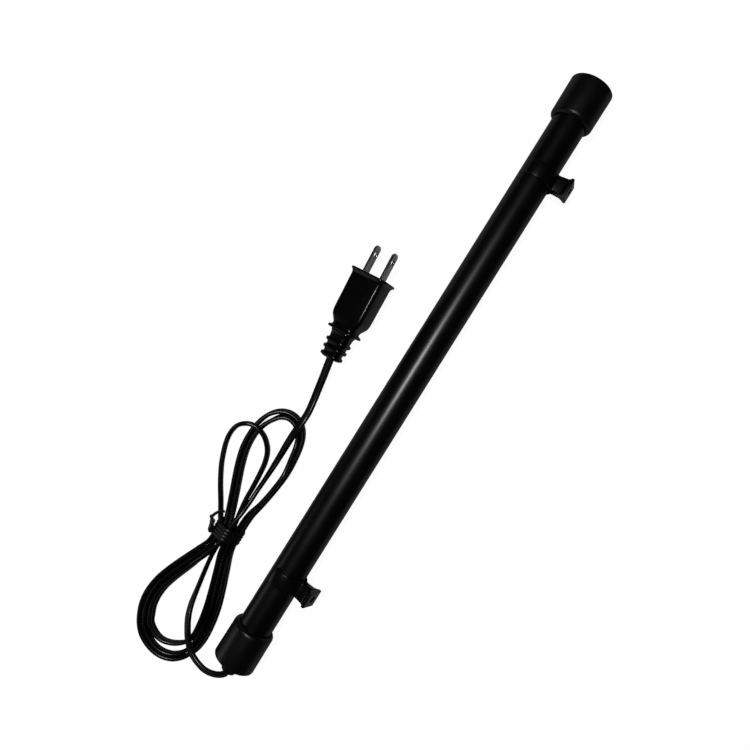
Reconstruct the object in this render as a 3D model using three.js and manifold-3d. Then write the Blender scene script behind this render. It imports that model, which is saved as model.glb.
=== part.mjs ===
// Tubular cabinet heating rod: a black aluminium tube with a moulded cap on each end, two
// push-fit foot clips, and a flat two-core lead, tied in a hank, that ends in a moulded plug.
// Millimetres, +Z up. The rod lies along X on its two caps. The origin is on the floor under
// the middle of the rod with its clips, without the lead.
import * as THREE from 'three';
import { mergeVertices } from 'three/addons/utils/BufferGeometryUtils.js';
import Module from 'manifold-3d';

const wasm = await Module();
wasm.setup();

// ---------- driving dimensions ----------
const GAP = 0.3; // clearance between neighbouring pieces
const ROUND = 48; // sides of the large turned pieces
const SMALL_ROUND = 20; // sides of the small turned pieces

const ROD = { length: 400, tubeRadius: 10.5, tubeWall: 1.2 };
const CAP = { length: 25, endRadius: 13.3, shoulderRadius: 13.1, endFillet: 0.7, shoulderFillet: 2.7, floor: 3 };
const SEAL = { thickness: 1.3, innerRadius: 8.4 };
const GROMMET = { collar: 6.4, tip: 4.7, proud: 7, flange: 6.6, neck: 4.4, tail: 3.6, inside: 12, bore: 3.1 };

const CLIP = {
  offset: 140, // from the middle of the rod
  width: 9.5, // along the rod
  wall: 1.2,
  wrap: 110, // degrees of ring on either side of the foot
  neckHalf: 3.5,
  footFace: 21.5, // from the rod's axis to the mounting face
  footThickness: 2,
  footHalf: 6.25,
  holeRadius: 1.8,
  headRadius: 3.2,
  fillet: 2.4,
};
const CLIP_TILT = { plain: 17, cord: 25 }; // degrees that each foot stands above level

const HEATER = {
  coreRadius: 4,
  coreBore: 1.7,
  from: -138,
  to: 150,
  wireRadius: 0.35,
  turns: 22,
  ferruleWidth: 5,
  ferruleRadius: 5.2,
  sleeveInner: 6,
  sleeveOuter: 6.8,
  spacerWidth: 6,
};

const CORD = { radius: 2, sides: 8 }; // the round that stands for the 5.2 x 2.8 flat lead
const HANK = { bottom: 1.2, top: 11.8 };
const TIE = { x: -141, y: 45.15, halfWidth: 9, width: 9, wall: 0.9 };

const PLUG = {
  face: [39.9, 50.4, 12.9], // middle of the front face, from the rod's middle and the floor
  yaw: 3.6, // degrees from +X towards +Y
  pitch: 3.2, // degrees that the back sits lower than the front
  roll: 25, // degrees that the side next to the rod is raised
  bladePitch: 12.7,
  bladeWidth: 6.35,
  bladeThickness: 1.5,
  bladeOut: 17.3,
  bladeIn: 9,
  holeRadius: 1.6,
  holeFromFace: 11.9,
};

const capRadius = CAP.endRadius;
const tiltPlain = THREE.MathUtils.degToRad(CLIP_TILT.plain);
const footReach = CLIP.footFace * Math.cos(tiltPlain) + CLIP.footHalf * Math.sin(tiltPlain);
const rodY = (footReach - capRadius) / 2; // puts the origin midway between foot and cap
const tubeEnd = ROD.length / 2 - CAP.floor - SEAL.thickness - 2 * GAP;
const tubeBore = ROD.tubeRadius - ROD.tubeWall;

// ---------- geometry helpers ----------
// Turns the triangles of a closed surface round if they face inwards.
function facingOut(geometry) {
  const g = geometry.index ? geometry.toNonIndexed() : geometry.clone();
  const p = g.attributes.position;
  const [a, b, c] = [new THREE.Vector3(), new THREE.Vector3(), new THREE.Vector3()];
  let volume = 0;
  for (let i = 0; i < p.count; i += 3) {
    a.fromBufferAttribute(p, i);
    b.fromBufferAttribute(p, i + 1);
    c.fromBufferAttribute(p, i + 2);
    volume += a.dot(b.cross(c));
  }
  if (volume < 0) {
    for (let i = 0; i < p.count; i += 3) {
      b.fromBufferAttribute(p, i + 1);
      c.fromBufferAttribute(p, i + 2);
      p.setXYZ(i + 1, c.x, c.y, c.z);
      p.setXYZ(i + 2, b.x, b.y, b.z);
    }
  }
  g.computeVertexNormals();
  return g;
}

// A solid turned about the X axis, from [x, radius] points.
function turned(profile, sides = ROUND) {
  const points = profile.map(([x, r]) => new THREE.Vector2(r, x));
  const geometry = new THREE.LatheGeometry(points, sides);
  geometry.rotateZ(-Math.PI / 2);
  return facingOut(geometry);
}

// A ring or pipe about the X axis.
function pipe(x0, x1, inner, outer, sides = ROUND) {
  return turned([[x0, inner], [x1, inner], [x1, outer], [x0, outer], [x0, inner]], sides);
}

// A plain round bar along the X axis.
function bar(x0, x1, radius, sides = SMALL_ROUND) {
  return turned([[x0, 0], [x0, radius], [x1, radius], [x1, 0]], sides);
}

// Points of a quarter-circle fillet between two angles, as [x, radius] pairs.
function arcPoints(cx, cr, radius, fromDeg, toDeg, steps) {
  const points = [];
  for (let i = 0; i <= steps; i++) {
    const a = THREE.MathUtils.degToRad(fromDeg + ((toDeg - fromDeg) * i) / steps);
    points.push([cx + radius * Math.cos(a), cr + radius * Math.sin(a)]);
  }
  return points;
}

// A round section swept along a curve.
function swept(curve, radius, sides, steps) {
  const section = new THREE.Shape();
  for (let i = 0; i < sides; i++) {
    const a = (2 * Math.PI * i) / sides;
    const [x, y] = [radius * Math.cos(a), radius * Math.sin(a)];
    if (i === 0) section.moveTo(x, y);
    else section.lineTo(x, y);
  }
  section.closePath();
  const options = { steps, bevelEnabled: false, extrudePath: curve };
  return facingOut(new THREE.ExtrudeGeometry(section, options));
}

function through(points, tension = 0.5) {
  const vectors = points.map((p) => new THREE.Vector3(...p));
  return new THREE.CatmullRomCurve3(vectors, false, 'catmullrom', tension);
}

// One ring of points of a rounded rectangle, width along Y and height along Z.
function roundedRing(x, width, height, radius, perCorner) {
  const ring = [];
  const corners = [[1, 1, 0], [-1, 1, 90], [-1, -1, 180], [1, -1, 270]];
  for (const [sy, sz, start] of corners) {
    for (let i = 0; i <= perCorner; i++) {
      const a = THREE.MathUtils.degToRad(start + (90 * i) / perCorner);
      ring.push([
        x,
        sy * (width / 2 - radius) + radius * Math.cos(a),
        sz * (height / 2 - radius) + radius * Math.sin(a),
      ]);
    }
  }
  return ring;
}

// A closed solid through rounded-rectangle stations {x, width, height, radius}.
function lofted(stations, perCorner = 4) {
  const rings = stations.map((s) => roundedRing(s.x, s.width, s.height, s.radius, perCorner));
  const count = rings[0].length;
  const triangles = [];
  for (let k = 0; k + 1 < rings.length; k++) {
    for (let i = 0; i < count; i++) {
      const j = (i + 1) % count;
      triangles.push(rings[k][i], rings[k][j], rings[k + 1][j]);
      triangles.push(rings[k][i], rings[k + 1][j], rings[k + 1][i]);
    }
  }
  for (let i = 1; i + 1 < count; i++) {
    const [first, last] = [rings[0], rings[rings.length - 1]];
    triangles.push(first[0], first[i + 1], first[i]);
    triangles.push(last[0], last[i], last[i + 1]);
  }
  const geometry = new THREE.BufferGeometry();
  geometry.setAttribute('position', new THREE.Float32BufferAttribute(triangles.flat(), 3));
  return facingOut(geometry);
}

// A box between two corners.
function block(low, high) {
  const size = high.map((h, i) => h - low[i]);
  const geometry = new THREE.BoxGeometry(...size);
  geometry.translate(...low.map((l, i) => (l + high[i]) / 2));
  return geometry;
}

function toSolid(geometry) {
  const bare = geometry.clone();
  bare.deleteAttribute('normal');
  bare.deleteAttribute('uv');
  const merged = mergeVertices(bare, 1e-4);
  const index = merged.index.array;
  const kept = [];
  for (let i = 0; i < index.length; i += 3) {
    const [a, b, c] = [index[i], index[i + 1], index[i + 2]];
    if (a !== b && b !== c && c !== a) kept.push(a, b, c);
  }
  const vertProperties = new Float32Array(merged.attributes.position.array);
  const mesh = new wasm.Mesh({ numProp: 3, vertProperties, triVerts: new Uint32Array(kept) });
  return new wasm.Manifold(mesh);
}

function fromSolid(solid) {
  const mesh = solid.getMesh();
  const geometry = new THREE.BufferGeometry();
  geometry.setAttribute('position', new THREE.Float32BufferAttribute(mesh.vertProperties, 3));
  geometry.setIndex([...mesh.triVerts]);
  geometry.computeVertexNormals();
  return geometry;
}

// The first geometry with the others cut out of it.
function cut(geometry, ...tools) {
  let solid = toSolid(geometry);
  for (const tool of tools) solid = solid.subtract(toSolid(tool));
  return fromSolid(solid);
}

// ---------- materials ----------
const finish = (color, roughness, metalness = 0) => ({ color, roughness, metalness });
const FINISHES = {
  enamel: finish(0x08080a, 0.35, 0.2),
  capPlastic: finish(0x0a0a0c, 0.4),
  clipPlastic: finish(0x101012, 0.45),
  cordPvc: finish(0x0a0a0b, 0.5),
  plugPvc: finish(0x0d0d0f, 0.45),
  nickel: finish(0xb8b9bc, 0.3, 1),
  silicone: finish(0xa64a32, 0.7),
  ceramic: finish(0xe6e1d4, 0.8),
  nichrome: finish(0x8c8a86, 0.4, 1),
  glassSleeve: finish(0xd9d2b8, 0.85),
  copper: finish(0xb87333, 0.4, 1),
  shrink: finish(0x1a1a1c, 0.6),
  wireRed: finish(0x8f1d1a, 0.5),
  wireWhite: finish(0xd8d8d4, 0.5),
};

function piece(name, geometry, finishName) {
  const mesh = new THREE.Mesh(geometry, new THREE.MeshStandardMaterial(FINISHES[finishName]));
  mesh.name = name;
  return mesh;
}

const heater = new THREE.Group();
const rod = new THREE.Group(); // its own X axis is the tube's axis
rod.position.set(0, rodY, capRadius);
const lead = new THREE.Group(); // the rod's X and Y, with Z from the floor
lead.position.set(0, rodY, 0);
heater.add(rod, lead);

// ---------- tube, caps and seals ----------
rod.add(piece('tube', pipe(-tubeEnd, tubeEnd, tubeBore, ROD.tubeRadius), 'enamel'));

// A cap's outline from the middle of its closed face round to the inside, for the +X end.
function capProfile(holeRadius) {
  const end = ROD.length / 2;
  const mouth = end - CAP.length;
  const bore = ROD.tubeRadius + GAP;
  const endArc = arcPoints(end - CAP.endFillet, capRadius - CAP.endFillet, CAP.endFillet, 0, 90, 3);
  const shoulderArc = arcPoints(
    mouth + CAP.shoulderFillet,
    CAP.shoulderRadius - CAP.shoulderFillet,
    CAP.shoulderFillet,
    90,
    180,
    5,
  );
  const profile = [[end, holeRadius], ...endArc, ...shoulderArc];
  profile.push([mouth, bore], [end - CAP.floor, bore], [end - CAP.floor, holeRadius]);
  if (holeRadius > 0) profile.push([end, holeRadius]);
  return profile;
}
const mirrored = (profile) => profile.map(([x, r]) => [-x, r]);
rod.add(piece('cap_plain_end', turned(capProfile(0)), 'capPlastic'));
const cordHole = GROMMET.neck + GAP;
rod.add(piece('cap_cord_end', turned(mirrored(capProfile(cordHole))), 'capPlastic'));

const sealFrom = tubeEnd + GAP;
const sealOuter = ROD.tubeRadius;
for (const [name, side] of [['seal_plain_end', 1], ['seal_cord_end', -1]]) {
  const [x0, x1] = [side * sealFrom, side * (sealFrom + SEAL.thickness)];
  rod.add(piece(name, pipe(Math.min(x0, x1), Math.max(x0, x1), SEAL.innerRadius, sealOuter), 'silicone'));
}

// ---------- cord grommet: flange outside, waist in the cap wall, tail inside ----------
const wallOutside = -ROD.length / 2;
const wallInside = wallOutside + CAP.floor;
const grommetTip = wallOutside - GROMMET.proud;
const grommetTail = wallInside + GROMMET.inside;
const grommetProfile = [
  [grommetTip, GROMMET.bore],
  [grommetTip, GROMMET.tip],
  [wallOutside - 2.2, GROMMET.collar - 0.6],
  [wallOutside - 1.6, GROMMET.collar],
  [wallOutside - GAP, GROMMET.collar],
  [wallOutside - GAP, GROMMET.neck],
  [wallInside + GAP, GROMMET.neck],
  [wallInside + GAP, GROMMET.flange],
  [wallInside + 2.2, GROMMET.flange],
  [wallInside + 2.6, GROMMET.tail + 0.9],
  [grommetTail, GROMMET.tail],
  [grommetTail, GROMMET.bore],
  [grommetTip, GROMMET.bore],
];
rod.add(piece('cord_grommet', turned(grommetProfile, 32), 'cordPvc'));

// ---------- heating element ----------
const { from: coreFrom, to: coreTo } = HEATER;
rod.add(piece('heater_core', pipe(coreFrom, coreTo, HEATER.coreBore, HEATER.coreRadius, 24), 'ceramic'));

const ferruleInner = HEATER.coreRadius + GAP;
const ferruleInset = 3;
const nearFerrule = coreFrom + ferruleInset;
const farFerrule = coreTo - ferruleInset - HEATER.ferruleWidth;
for (const [name, x] of [['ferrule_near', nearFerrule], ['ferrule_far', farFerrule]]) {
  const ring = pipe(x, x + HEATER.ferruleWidth, ferruleInner, HEATER.ferruleRadius, 24);
  rod.add(piece(name, ring, 'copper'));
}

class Helix extends THREE.Curve {
  constructor(x0, x1, radius, turns) {
    super();
    Object.assign(this, { x0, x1, radius, turns });
  }
  getPoint(t, target = new THREE.Vector3()) {
    const a = 2 * Math.PI * this.turns * t;
    const x = this.x0 + (this.x1 - this.x0) * t;
    return target.set(x, this.radius * Math.cos(a), this.radius * Math.sin(a));
  }
}
const windingFrom = nearFerrule + HEATER.ferruleWidth + 2 * GAP;
const windingTo = farFerrule - 2 * GAP;
const windingRadius = HEATER.coreRadius + GAP + HEATER.wireRadius;
const winding = new Helix(windingFrom, windingTo, windingRadius, HEATER.turns);
rod.add(piece('heater_winding', swept(winding, HEATER.wireRadius, 5, HEATER.turns * 10), 'nichrome'));

const sleeve = pipe(coreFrom - 6, coreTo + 4, HEATER.sleeveInner, HEATER.sleeveOuter, 24);
rod.add(piece('insulating_sleeve', sleeve, 'glassSleeve'));

const spacers = [['spacer_cord_side', -110], ['spacer_middle', 6], ['spacer_plain_side', 122]];
for (const [name, x] of spacers) {
  const half = HEATER.spacerWidth / 2;
  const ring = pipe(x - half, x + half, HEATER.sleeveOuter + GAP, tubeBore - GAP, 32);
  rod.add(piece(name, ring, 'silicone'));
}

// ---------- wiring inside the tube ----------
// The two cores of the lead run side by side from the grommet's waist, then part to their joints.
const LEAD_RADIUS = 0.95;
const leadStart = wallOutside + GAP;
const leadParting = grommetTail + 4;
const spliceX = -172; // where the joints begin
const liveY = -3.2;
const neutralY = 3.4;
function leadRoute(y) {
  const pinched = Math.sign(y) * (LEAD_RADIUS + GAP);
  return through([
    [leadStart, pinched, 0],
    [leadParting, pinched, 0],
    [(leadParting + spliceX) / 2, (pinched + y) / 2, 0],
    [spliceX - 5, y, 0],
    [spliceX - GAP, y, 0],
  ]);
}
rod.add(piece('lead_live', swept(leadRoute(liveY), LEAD_RADIUS, 8, 24), 'wireRed'));
rod.add(piece('lead_neutral', swept(leadRoute(neutralY), LEAD_RADIUS, 8, 24), 'wireWhite'));

// A crimp with its shrink sleeve round it, along X at height zero.
const CRIMP = { length: 8, radius: 1.3, sleeveOver: 1, sleeveWall: 0.4 };
function splice(suffix, y) {
  const crimp = bar(spliceX, spliceX + CRIMP.length, CRIMP.radius, 12);
  const inner = CRIMP.radius + GAP;
  const from = spliceX - CRIMP.sleeveOver;
  const to = spliceX + CRIMP.length + CRIMP.sleeveOver;
  const shrink = pipe(from, to, inner, inner + CRIMP.sleeveWall, 12);
  for (const geometry of [crimp, shrink]) geometry.translate(0, y, 0);
  rod.add(piece(`crimp_${suffix}`, crimp, 'copper'));
  rod.add(piece(`shrink_sleeve_${suffix}`, shrink, 'shrink'));
}
splice('live', liveY);
splice('neutral', neutralY);

// The thermal fuse follows the live joint, and a short tail takes it to the near ferrule.
const afterSplice = spliceX + CRIMP.length + GAP;
const FUSE = { length: 11, radius: 1.9, tailRadius: 0.5 };
const fuseFrom = afterSplice + 4;
const fuse = bar(fuseFrom, fuseFrom + FUSE.length, FUSE.radius, 14);
fuse.translate(0, liveY, 0);
rod.add(piece('thermal_fuse', fuse, 'nickel'));
const fuseLeadIn = bar(afterSplice, fuseFrom - GAP, FUSE.tailRadius, 8);
fuseLeadIn.translate(0, liveY, 0);
rod.add(piece('fuse_tail_in', fuseLeadIn, 'copper'));
const ferruleRim = (ferruleInner + HEATER.ferruleRadius) / 2;
const fuseTail = through([
  [fuseFrom + FUSE.length + GAP, liveY, 0],
  [coreFrom - 4, liveY - 0.6, 0],
  [coreFrom - 1, -ferruleRim, 0],
  [nearFerrule - GAP, -ferruleRim, 0],
]);
rod.add(piece('fuse_tail_out', swept(fuseTail, 0.4, 6, 14), 'copper'));

// The return wire goes from the neutral joint down the core's bore to the far ferrule.
const RETURN_RADIUS = 0.8;
const returnRoute = through([
  [afterSplice, neutralY, 0],
  [afterSplice + 6, neutralY, 0],
  [coreFrom - 9, 1.2, 0],
  [coreFrom - 4, 0, 0],
  [coreFrom + 20, 0, 0],
  [0, 0, 0],
  [coreTo - 20, 0, 0],
  [coreTo + 1.6, 0, 0],
  [coreTo + 2.6, 1.4, 0],
], 0.3);
rod.add(piece('return_wire', swept(returnRoute, RETURN_RADIUS, 6, 60), 'wireWhite'));

// ---------- foot clips ----------
// The section of a clip, in a plane across the rod: +X of the shape points along the foot.
function clipSection() {
  const inner = ROD.tubeRadius + GAP;
  const outer = inner + CLIP.wall;
  const wrap = THREE.MathUtils.degToRad(CLIP.wrap);
  const { neckHalf, fillet, footHalf, footFace, footThickness } = CLIP;
  const footBack = footFace - footThickness;
  const rootAngle = Math.asin((neckHalf + fillet) / (outer + fillet));
  const rootX = (outer + fillet) * Math.cos(rootAngle);
  const lip = CLIP.wall / 2;
  const shape = new THREE.Shape();
  shape.absarc(0, 0, outer, wrap, rootAngle, true);
  shape.absarc(rootX, neckHalf + fillet, fillet, rootAngle + Math.PI, 1.5 * Math.PI, false);
  shape.lineTo(footBack - fillet, neckHalf);
  shape.absarc(footBack - fillet, neckHalf + fillet, fillet, 1.5 * Math.PI, 2 * Math.PI, false);
  shape.lineTo(footBack, footHalf);
  shape.lineTo(footFace, footHalf);
  shape.lineTo(footFace, -footHalf);
  shape.lineTo(footBack, -footHalf);
  shape.lineTo(footBack, -neckHalf - fillet);
  shape.absarc(footBack - fillet, -neckHalf - fillet, fillet, 0, 0.5 * Math.PI, false);
  shape.lineTo(rootX, -neckHalf);
  shape.absarc(rootX, -neckHalf - fillet, fillet, 0.5 * Math.PI, Math.PI - rootAngle, false);
  shape.absarc(0, 0, outer, -rootAngle, -wrap, true);
  const middle = inner + lip;
  const tip = (sign) => [middle * Math.cos(wrap), sign * middle * Math.sin(wrap)];
  shape.absarc(...tip(-1), lip, -wrap, -wrap - Math.PI, true);
  shape.absarc(0, 0, inner, -wrap, wrap, false);
  shape.absarc(...tip(1), lip, wrap + Math.PI, wrap, true);
  return shape;
}

function clip(name, x, tiltDeg) {
  const section = clipSection();
  const options = { depth: CLIP.width, curveSegments: 18, bevelEnabled: false };
  const body = new THREE.ExtrudeGeometry(section, options);
  body.translate(0, 0, -CLIP.width / 2);
  const inner = ROD.tubeRadius + GAP;
  const hole = turned([[9, 0], [9, CLIP.headRadius], [inner + 0.4, CLIP.headRadius],
    [inner + 1.8, CLIP.holeRadius], [CLIP.footFace + 2, CLIP.holeRadius], [CLIP.footFace + 2, 0]], 20);
  const geometry = cut(facingOut(body), hole);
  // Shape X becomes the foot's direction, and the extrusion lies along the rod.
  const tilt = THREE.MathUtils.degToRad(tiltDeg);
  const along = new THREE.Vector3(0, -Math.cos(tilt), Math.sin(tilt));
  const length = new THREE.Vector3(1, 0, 0);
  const across = new THREE.Vector3().crossVectors(length, along);
  geometry.applyMatrix4(new THREE.Matrix4().makeBasis(along, across, length));
  geometry.translate(x, 0, 0);
  return piece(name, facingOut(geometry), 'clipPlastic');
}
rod.add(clip('clip_plain_end', CLIP.offset, CLIP_TILT.plain));
rod.add(clip('clip_cord_end', -CLIP.offset, CLIP_TILT.cord));

// ---------- lead ----------
// Outside the hank the lead is a tube. X and Y are from the rod's middle, Z from the floor.
const exitHeight = capRadius;
const CAP_RUN = [
  [grommetTip - GAP, 0, exitHeight],
  [-210.2, 0.9, exitHeight],
  [-212.9, 4, 13],
  [-214.8, 8.2, 12.2],
  [-215.6, 12.6, 11.2],
  [-215.3, 16.4, 10.2],
];
const PLUG_RUN = [
  [-53.2, 41.1, 7.2],
  [-50, 41.2, 6.6],
  [-42.8, 42.3, 5.6],
  [-33.8, 43.8, 6],
  [-23.7, 45.4, 8],
  [-16.2, 46.7, 9.5],
];
lead.add(piece('cord_cap_run', swept(through(CAP_RUN), CORD.radius, CORD.sides, 5), 'cordPvc'));
lead.add(piece('cord_plug_run', swept(through(PLUG_RUN), CORD.radius, CORD.sides, 8), 'cordPvc'));

// The hank: two lobes and the waist that the tie holds, with the open middle of each lobe.
const waist = { left: TIE.y + TIE.halfWidth - GAP, right: TIE.y - TIE.halfWidth + GAP };
const tieFrom = TIE.x - TIE.width / 2 - 1;
const tieTo = TIE.x + TIE.width / 2 + 1;
const HANK_OUTLINE = [
  [-55, 52], [-58, 60], [-66, 65], [-73, 71], [-80, 77], [-92, 77.5], [-106, 73], [-120, 65],
  [tieTo, waist.left], [tieFrom, waist.left],
  [-160, 57.5], [-174, 65], [-188, 70], [-202, 70], [-214, 66], [-224, 57], [-229, 46],
  [-229, 35], [-224, 26], [-214, 20.6], [-200, 20.4], [-184, 23], [-168, 28],
  [tieFrom, waist.right], [tieTo, waist.right],
  [-118, 33.2], [-102, 30.2], [-86, 29], [-72, 30.8], [-61, 36], [-56, 43],
];
const LOWER_EYE = [
  [-168, 46], [-178, 53], [-192, 57], [-204, 55], [-213, 48], [-214, 40], [-206, 35.5], [-190, 35], [-176, 39],
];
const UPPER_EYE = [
  [-112, 44], [-102, 54], [-88, 59.5], [-74, 59], [-65, 52], [-65, 44], [-74, 38], [-90, 36.4], [-104, 38.4],
];
const hankShape = new THREE.Shape(HANK_OUTLINE.map((p) => new THREE.Vector2(...p)));
for (const eye of [LOWER_EYE, UPPER_EYE]) {
  hankShape.holes.push(new THREE.Path(eye.map((p) => new THREE.Vector2(...p))));
}
const hank = new THREE.ExtrudeGeometry(hankShape, { depth: HANK.top - HANK.bottom, bevelEnabled: false });
hank.translate(0, 0, HANK.bottom);
lead.add(piece('cord_hank', facingOut(hank), 'cordPvc'));

// ---------- twist tie: its band round the waist, and the twisted tails beside it ----------
const tieHeight = HANK.top - HANK.bottom + 2 * GAP;
const tieMiddle = (HANK.top + HANK.bottom) / 2;
const tieStation = (x, grow) => ({
  x,
  width: 2 * (TIE.halfWidth + grow),
  height: tieHeight + 2 * grow,
  radius: 0.5 + grow,
});
const tieHalf = TIE.width / 2;
const tieOuter = lofted([tieStation(-tieHalf, TIE.wall), tieStation(tieHalf, TIE.wall)]);
const tieInner = lofted([tieStation(-tieHalf - 1, 0), tieStation(tieHalf + 1, 0)]);
const band = cut(tieOuter, tieInner);
band.translate(TIE.x, TIE.y, tieMiddle);
lead.add(piece('twist_tie', facingOut(band), 'cordPvc'));
const tailsY = TIE.y + TIE.halfWidth + TIE.wall + GAP;
const tails = through([
  [TIE.x - 3, tailsY + 1.4, tieMiddle],
  [TIE.x - 1, tailsY + 2.4, tieMiddle - 1],
  [TIE.x + 2, tailsY + 3, tieMiddle - 2.6],
  [TIE.x + 5, tailsY + 3, tieMiddle - 3.2],
]);
lead.add(piece('twist_tie_tails', swept(tails, 1.2, 8, 6), 'cordPvc'));

// ---------- plug, built along its own X with the blades forward of x = 0 ----------
const plug = new THREE.Group();
const BODY_STATIONS = [
  { x: 0, width: 25.4, height: 18.6, radius: 4 },
  { x: -1.5, width: 25.6, height: 18.8, radius: 4 },
  { x: -2.4, width: 23.2, height: 16.6, radius: 3.4 },
  { x: -4, width: 21.8, height: 15.2, radius: 3.2 },
  { x: -15, width: 21.6, height: 15, radius: 3.2 },
  { x: -28, width: 21.4, height: 14.8, radius: 3.2 },
  { x: -31, width: 19.6, height: 13.8, radius: 3.4 },
  { x: -34, width: 16.4, height: 12.2, radius: 3.6 },
  { x: -35.6, width: 16.2, height: 12.2, radius: 3.8 },
  { x: -36.8, width: 19.8, height: 14.4, radius: 4 },
  { x: -38, width: 20.2, height: 14.8, radius: 4 },
];
const INSERT = { depth: 2.5, width: 18.4, height: 11, radius: 2.5 };
const RELIEF_ROOT = { depth: 5, width: 10, height: 7, radius: 2.4 };
const plugLength = 38;
const slotGrow = 2 * GAP;
const bladeSides = [1, -1];
const bladeY = (side) => (side * PLUG.bladePitch) / 2;
const slotTools = bladeSides.map((side) => {
  const halfThickness = (PLUG.bladeThickness + slotGrow) / 2;
  const halfWidth = (PLUG.bladeWidth + slotGrow) / 2;
  return block(
    [-PLUG.bladeIn - GAP, bladeY(side) - halfThickness, -halfWidth],
    [5, bladeY(side) + halfThickness, halfWidth],
  );
});
const insertPocket = lofted([
  { x: -INSERT.depth - GAP, width: INSERT.width + slotGrow, height: INSERT.height + slotGrow, radius: 2.8 },
  { x: 5, width: INSERT.width + slotGrow, height: INSERT.height + slotGrow, radius: 2.8 },
]);
const pocketSize = {
  width: RELIEF_ROOT.width + slotGrow,
  height: RELIEF_ROOT.height + slotGrow,
  radius: RELIEF_ROOT.radius,
};
const reliefPocket = lofted([
  { ...pocketSize, x: -plugLength - 5 },
  { ...pocketSize, x: -plugLength + RELIEF_ROOT.depth + GAP },
]);
plug.add(piece('plug_body', cut(lofted(BODY_STATIONS), insertPocket, reliefPocket, ...slotTools), 'plugPvc'));

const insert = lofted([
  { ...INSERT, x: -INSERT.depth },
  { ...INSERT, x: 0 },
]);
plug.add(piece('plug_insert', cut(insert, ...slotTools), 'plugPvc'));

// A blade: a flat bar with chamfered tip corners and the round hole near the tip.
function blade(side) {
  const { bladeWidth, bladeThickness, bladeOut, bladeIn, holeRadius, holeFromFace } = PLUG;
  const half = bladeWidth / 2;
  const chamfer = 1.6;
  const shape = new THREE.Shape();
  shape.moveTo(-bladeIn, -half);
  shape.lineTo(bladeOut - chamfer, -half);
  shape.lineTo(bladeOut, -half + chamfer);
  shape.lineTo(bladeOut, half - chamfer);
  shape.lineTo(bladeOut - chamfer, half);
  shape.lineTo(-bladeIn, half);
  shape.closePath();
  const hole = new THREE.Path();
  hole.absarc(holeFromFace, 0, holeRadius, 0, 2 * Math.PI, true);
  shape.holes.push(hole);
  const options = { depth: bladeThickness, bevelEnabled: false, curveSegments: 8 };
  const geometry = new THREE.ExtrudeGeometry(shape, options);
  geometry.rotateX(Math.PI / 2);
  geometry.translate(0, bladeY(side) + bladeThickness / 2, 0);
  return facingOut(geometry);
}
plug.add(piece('plug_blade_left', blade(1), 'nickel'));
plug.add(piece('plug_blade_right', blade(-1), 'nickel'));

// The strain relief: a root inside the body and a taper with three ribs behind it.
const RIB = { count: 3, first: 6.4, pitch: 4.5, length: 1.8, ramp: 0.7, proud: 1.2 };
const RELIEF = { length: 17, width: 13.6, height: 10.2, endWidth: 11.2, endHeight: 8.2, collar: 0.4 };
function reliefStations() {
  const behind = -plugLength - GAP;
  const size = (d, proud) => {
    const t = d / RELIEF.length;
    const width = RELIEF.width + (RELIEF.endWidth - RELIEF.width) * t + 2 * proud;
    const height = RELIEF.height + (RELIEF.endHeight - RELIEF.height) * t + 2 * proud;
    return { x: behind - d, width, height, radius: 3.2 };
  };
  const stations = [
    { ...RELIEF_ROOT, x: -plugLength + RELIEF_ROOT.depth },
    { ...RELIEF_ROOT, x: behind },
    size(0, RELIEF.collar),
  ];
  for (let i = 0; i < RIB.count; i++) {
    const start = RIB.first + i * RIB.pitch - RIB.length / 2;
    stations.push(size(start - RIB.ramp, 0), size(start, RIB.proud));
    stations.push(size(start + RIB.length, RIB.proud));
    if (i < RIB.count - 1) stations.push(size(start + RIB.length + RIB.ramp, 0));
  }
  stations.push(size(RELIEF.length, 0));
  return stations;
}
plug.add(piece('plug_strain_relief', lofted(reliefStations(), 3), 'plugPvc'));

const yaw = THREE.MathUtils.degToRad(PLUG.yaw);
const pitch = THREE.MathUtils.degToRad(PLUG.pitch);
const roll = THREE.MathUtils.degToRad(PLUG.roll);
plug.rotation.set(-roll, -pitch, yaw, 'ZYX');
plug.position.set(...PLUG.face);
lead.add(plug);

export default heater;
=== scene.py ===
"""Looks for a black tubular cabinet heating rod with two foot clips and a flat lead tied in a hank.

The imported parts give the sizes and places. This script builds the visible pieces round them in
metres, in the row frame, dresses every piece in a procedural finish, and sets the camera, floor
and studio light. Lengths in the classes are in millimetres unless a name says otherwise.
"""

import logging
import math
from dataclasses import dataclass, field
from enum import Enum
from typing import Iterable, Sequence

import bmesh
import bpy
from mathutils import Matrix, Vector

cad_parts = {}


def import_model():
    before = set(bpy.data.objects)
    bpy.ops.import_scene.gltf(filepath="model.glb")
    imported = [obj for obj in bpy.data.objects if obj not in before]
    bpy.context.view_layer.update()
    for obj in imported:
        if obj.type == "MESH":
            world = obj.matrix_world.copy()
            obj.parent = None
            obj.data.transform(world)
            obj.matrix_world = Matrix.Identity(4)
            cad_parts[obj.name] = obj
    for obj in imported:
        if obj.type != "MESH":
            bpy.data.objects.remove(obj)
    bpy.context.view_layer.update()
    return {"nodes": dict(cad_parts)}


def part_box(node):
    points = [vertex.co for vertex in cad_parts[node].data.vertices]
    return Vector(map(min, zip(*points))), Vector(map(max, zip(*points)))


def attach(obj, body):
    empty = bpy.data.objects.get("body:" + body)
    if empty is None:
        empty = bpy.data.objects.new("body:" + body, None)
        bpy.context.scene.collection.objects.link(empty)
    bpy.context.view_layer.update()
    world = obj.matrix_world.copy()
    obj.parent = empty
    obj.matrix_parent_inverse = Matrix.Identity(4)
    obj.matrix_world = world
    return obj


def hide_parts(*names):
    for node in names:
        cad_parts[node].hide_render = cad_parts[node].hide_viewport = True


LOG = logging.getLogger("heating_rod")
MM = 0.001
WELD = 1e-7  # metres within which two vertices are one
Colour = tuple[float, float, float]
Place = tuple[float, float, float]
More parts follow.
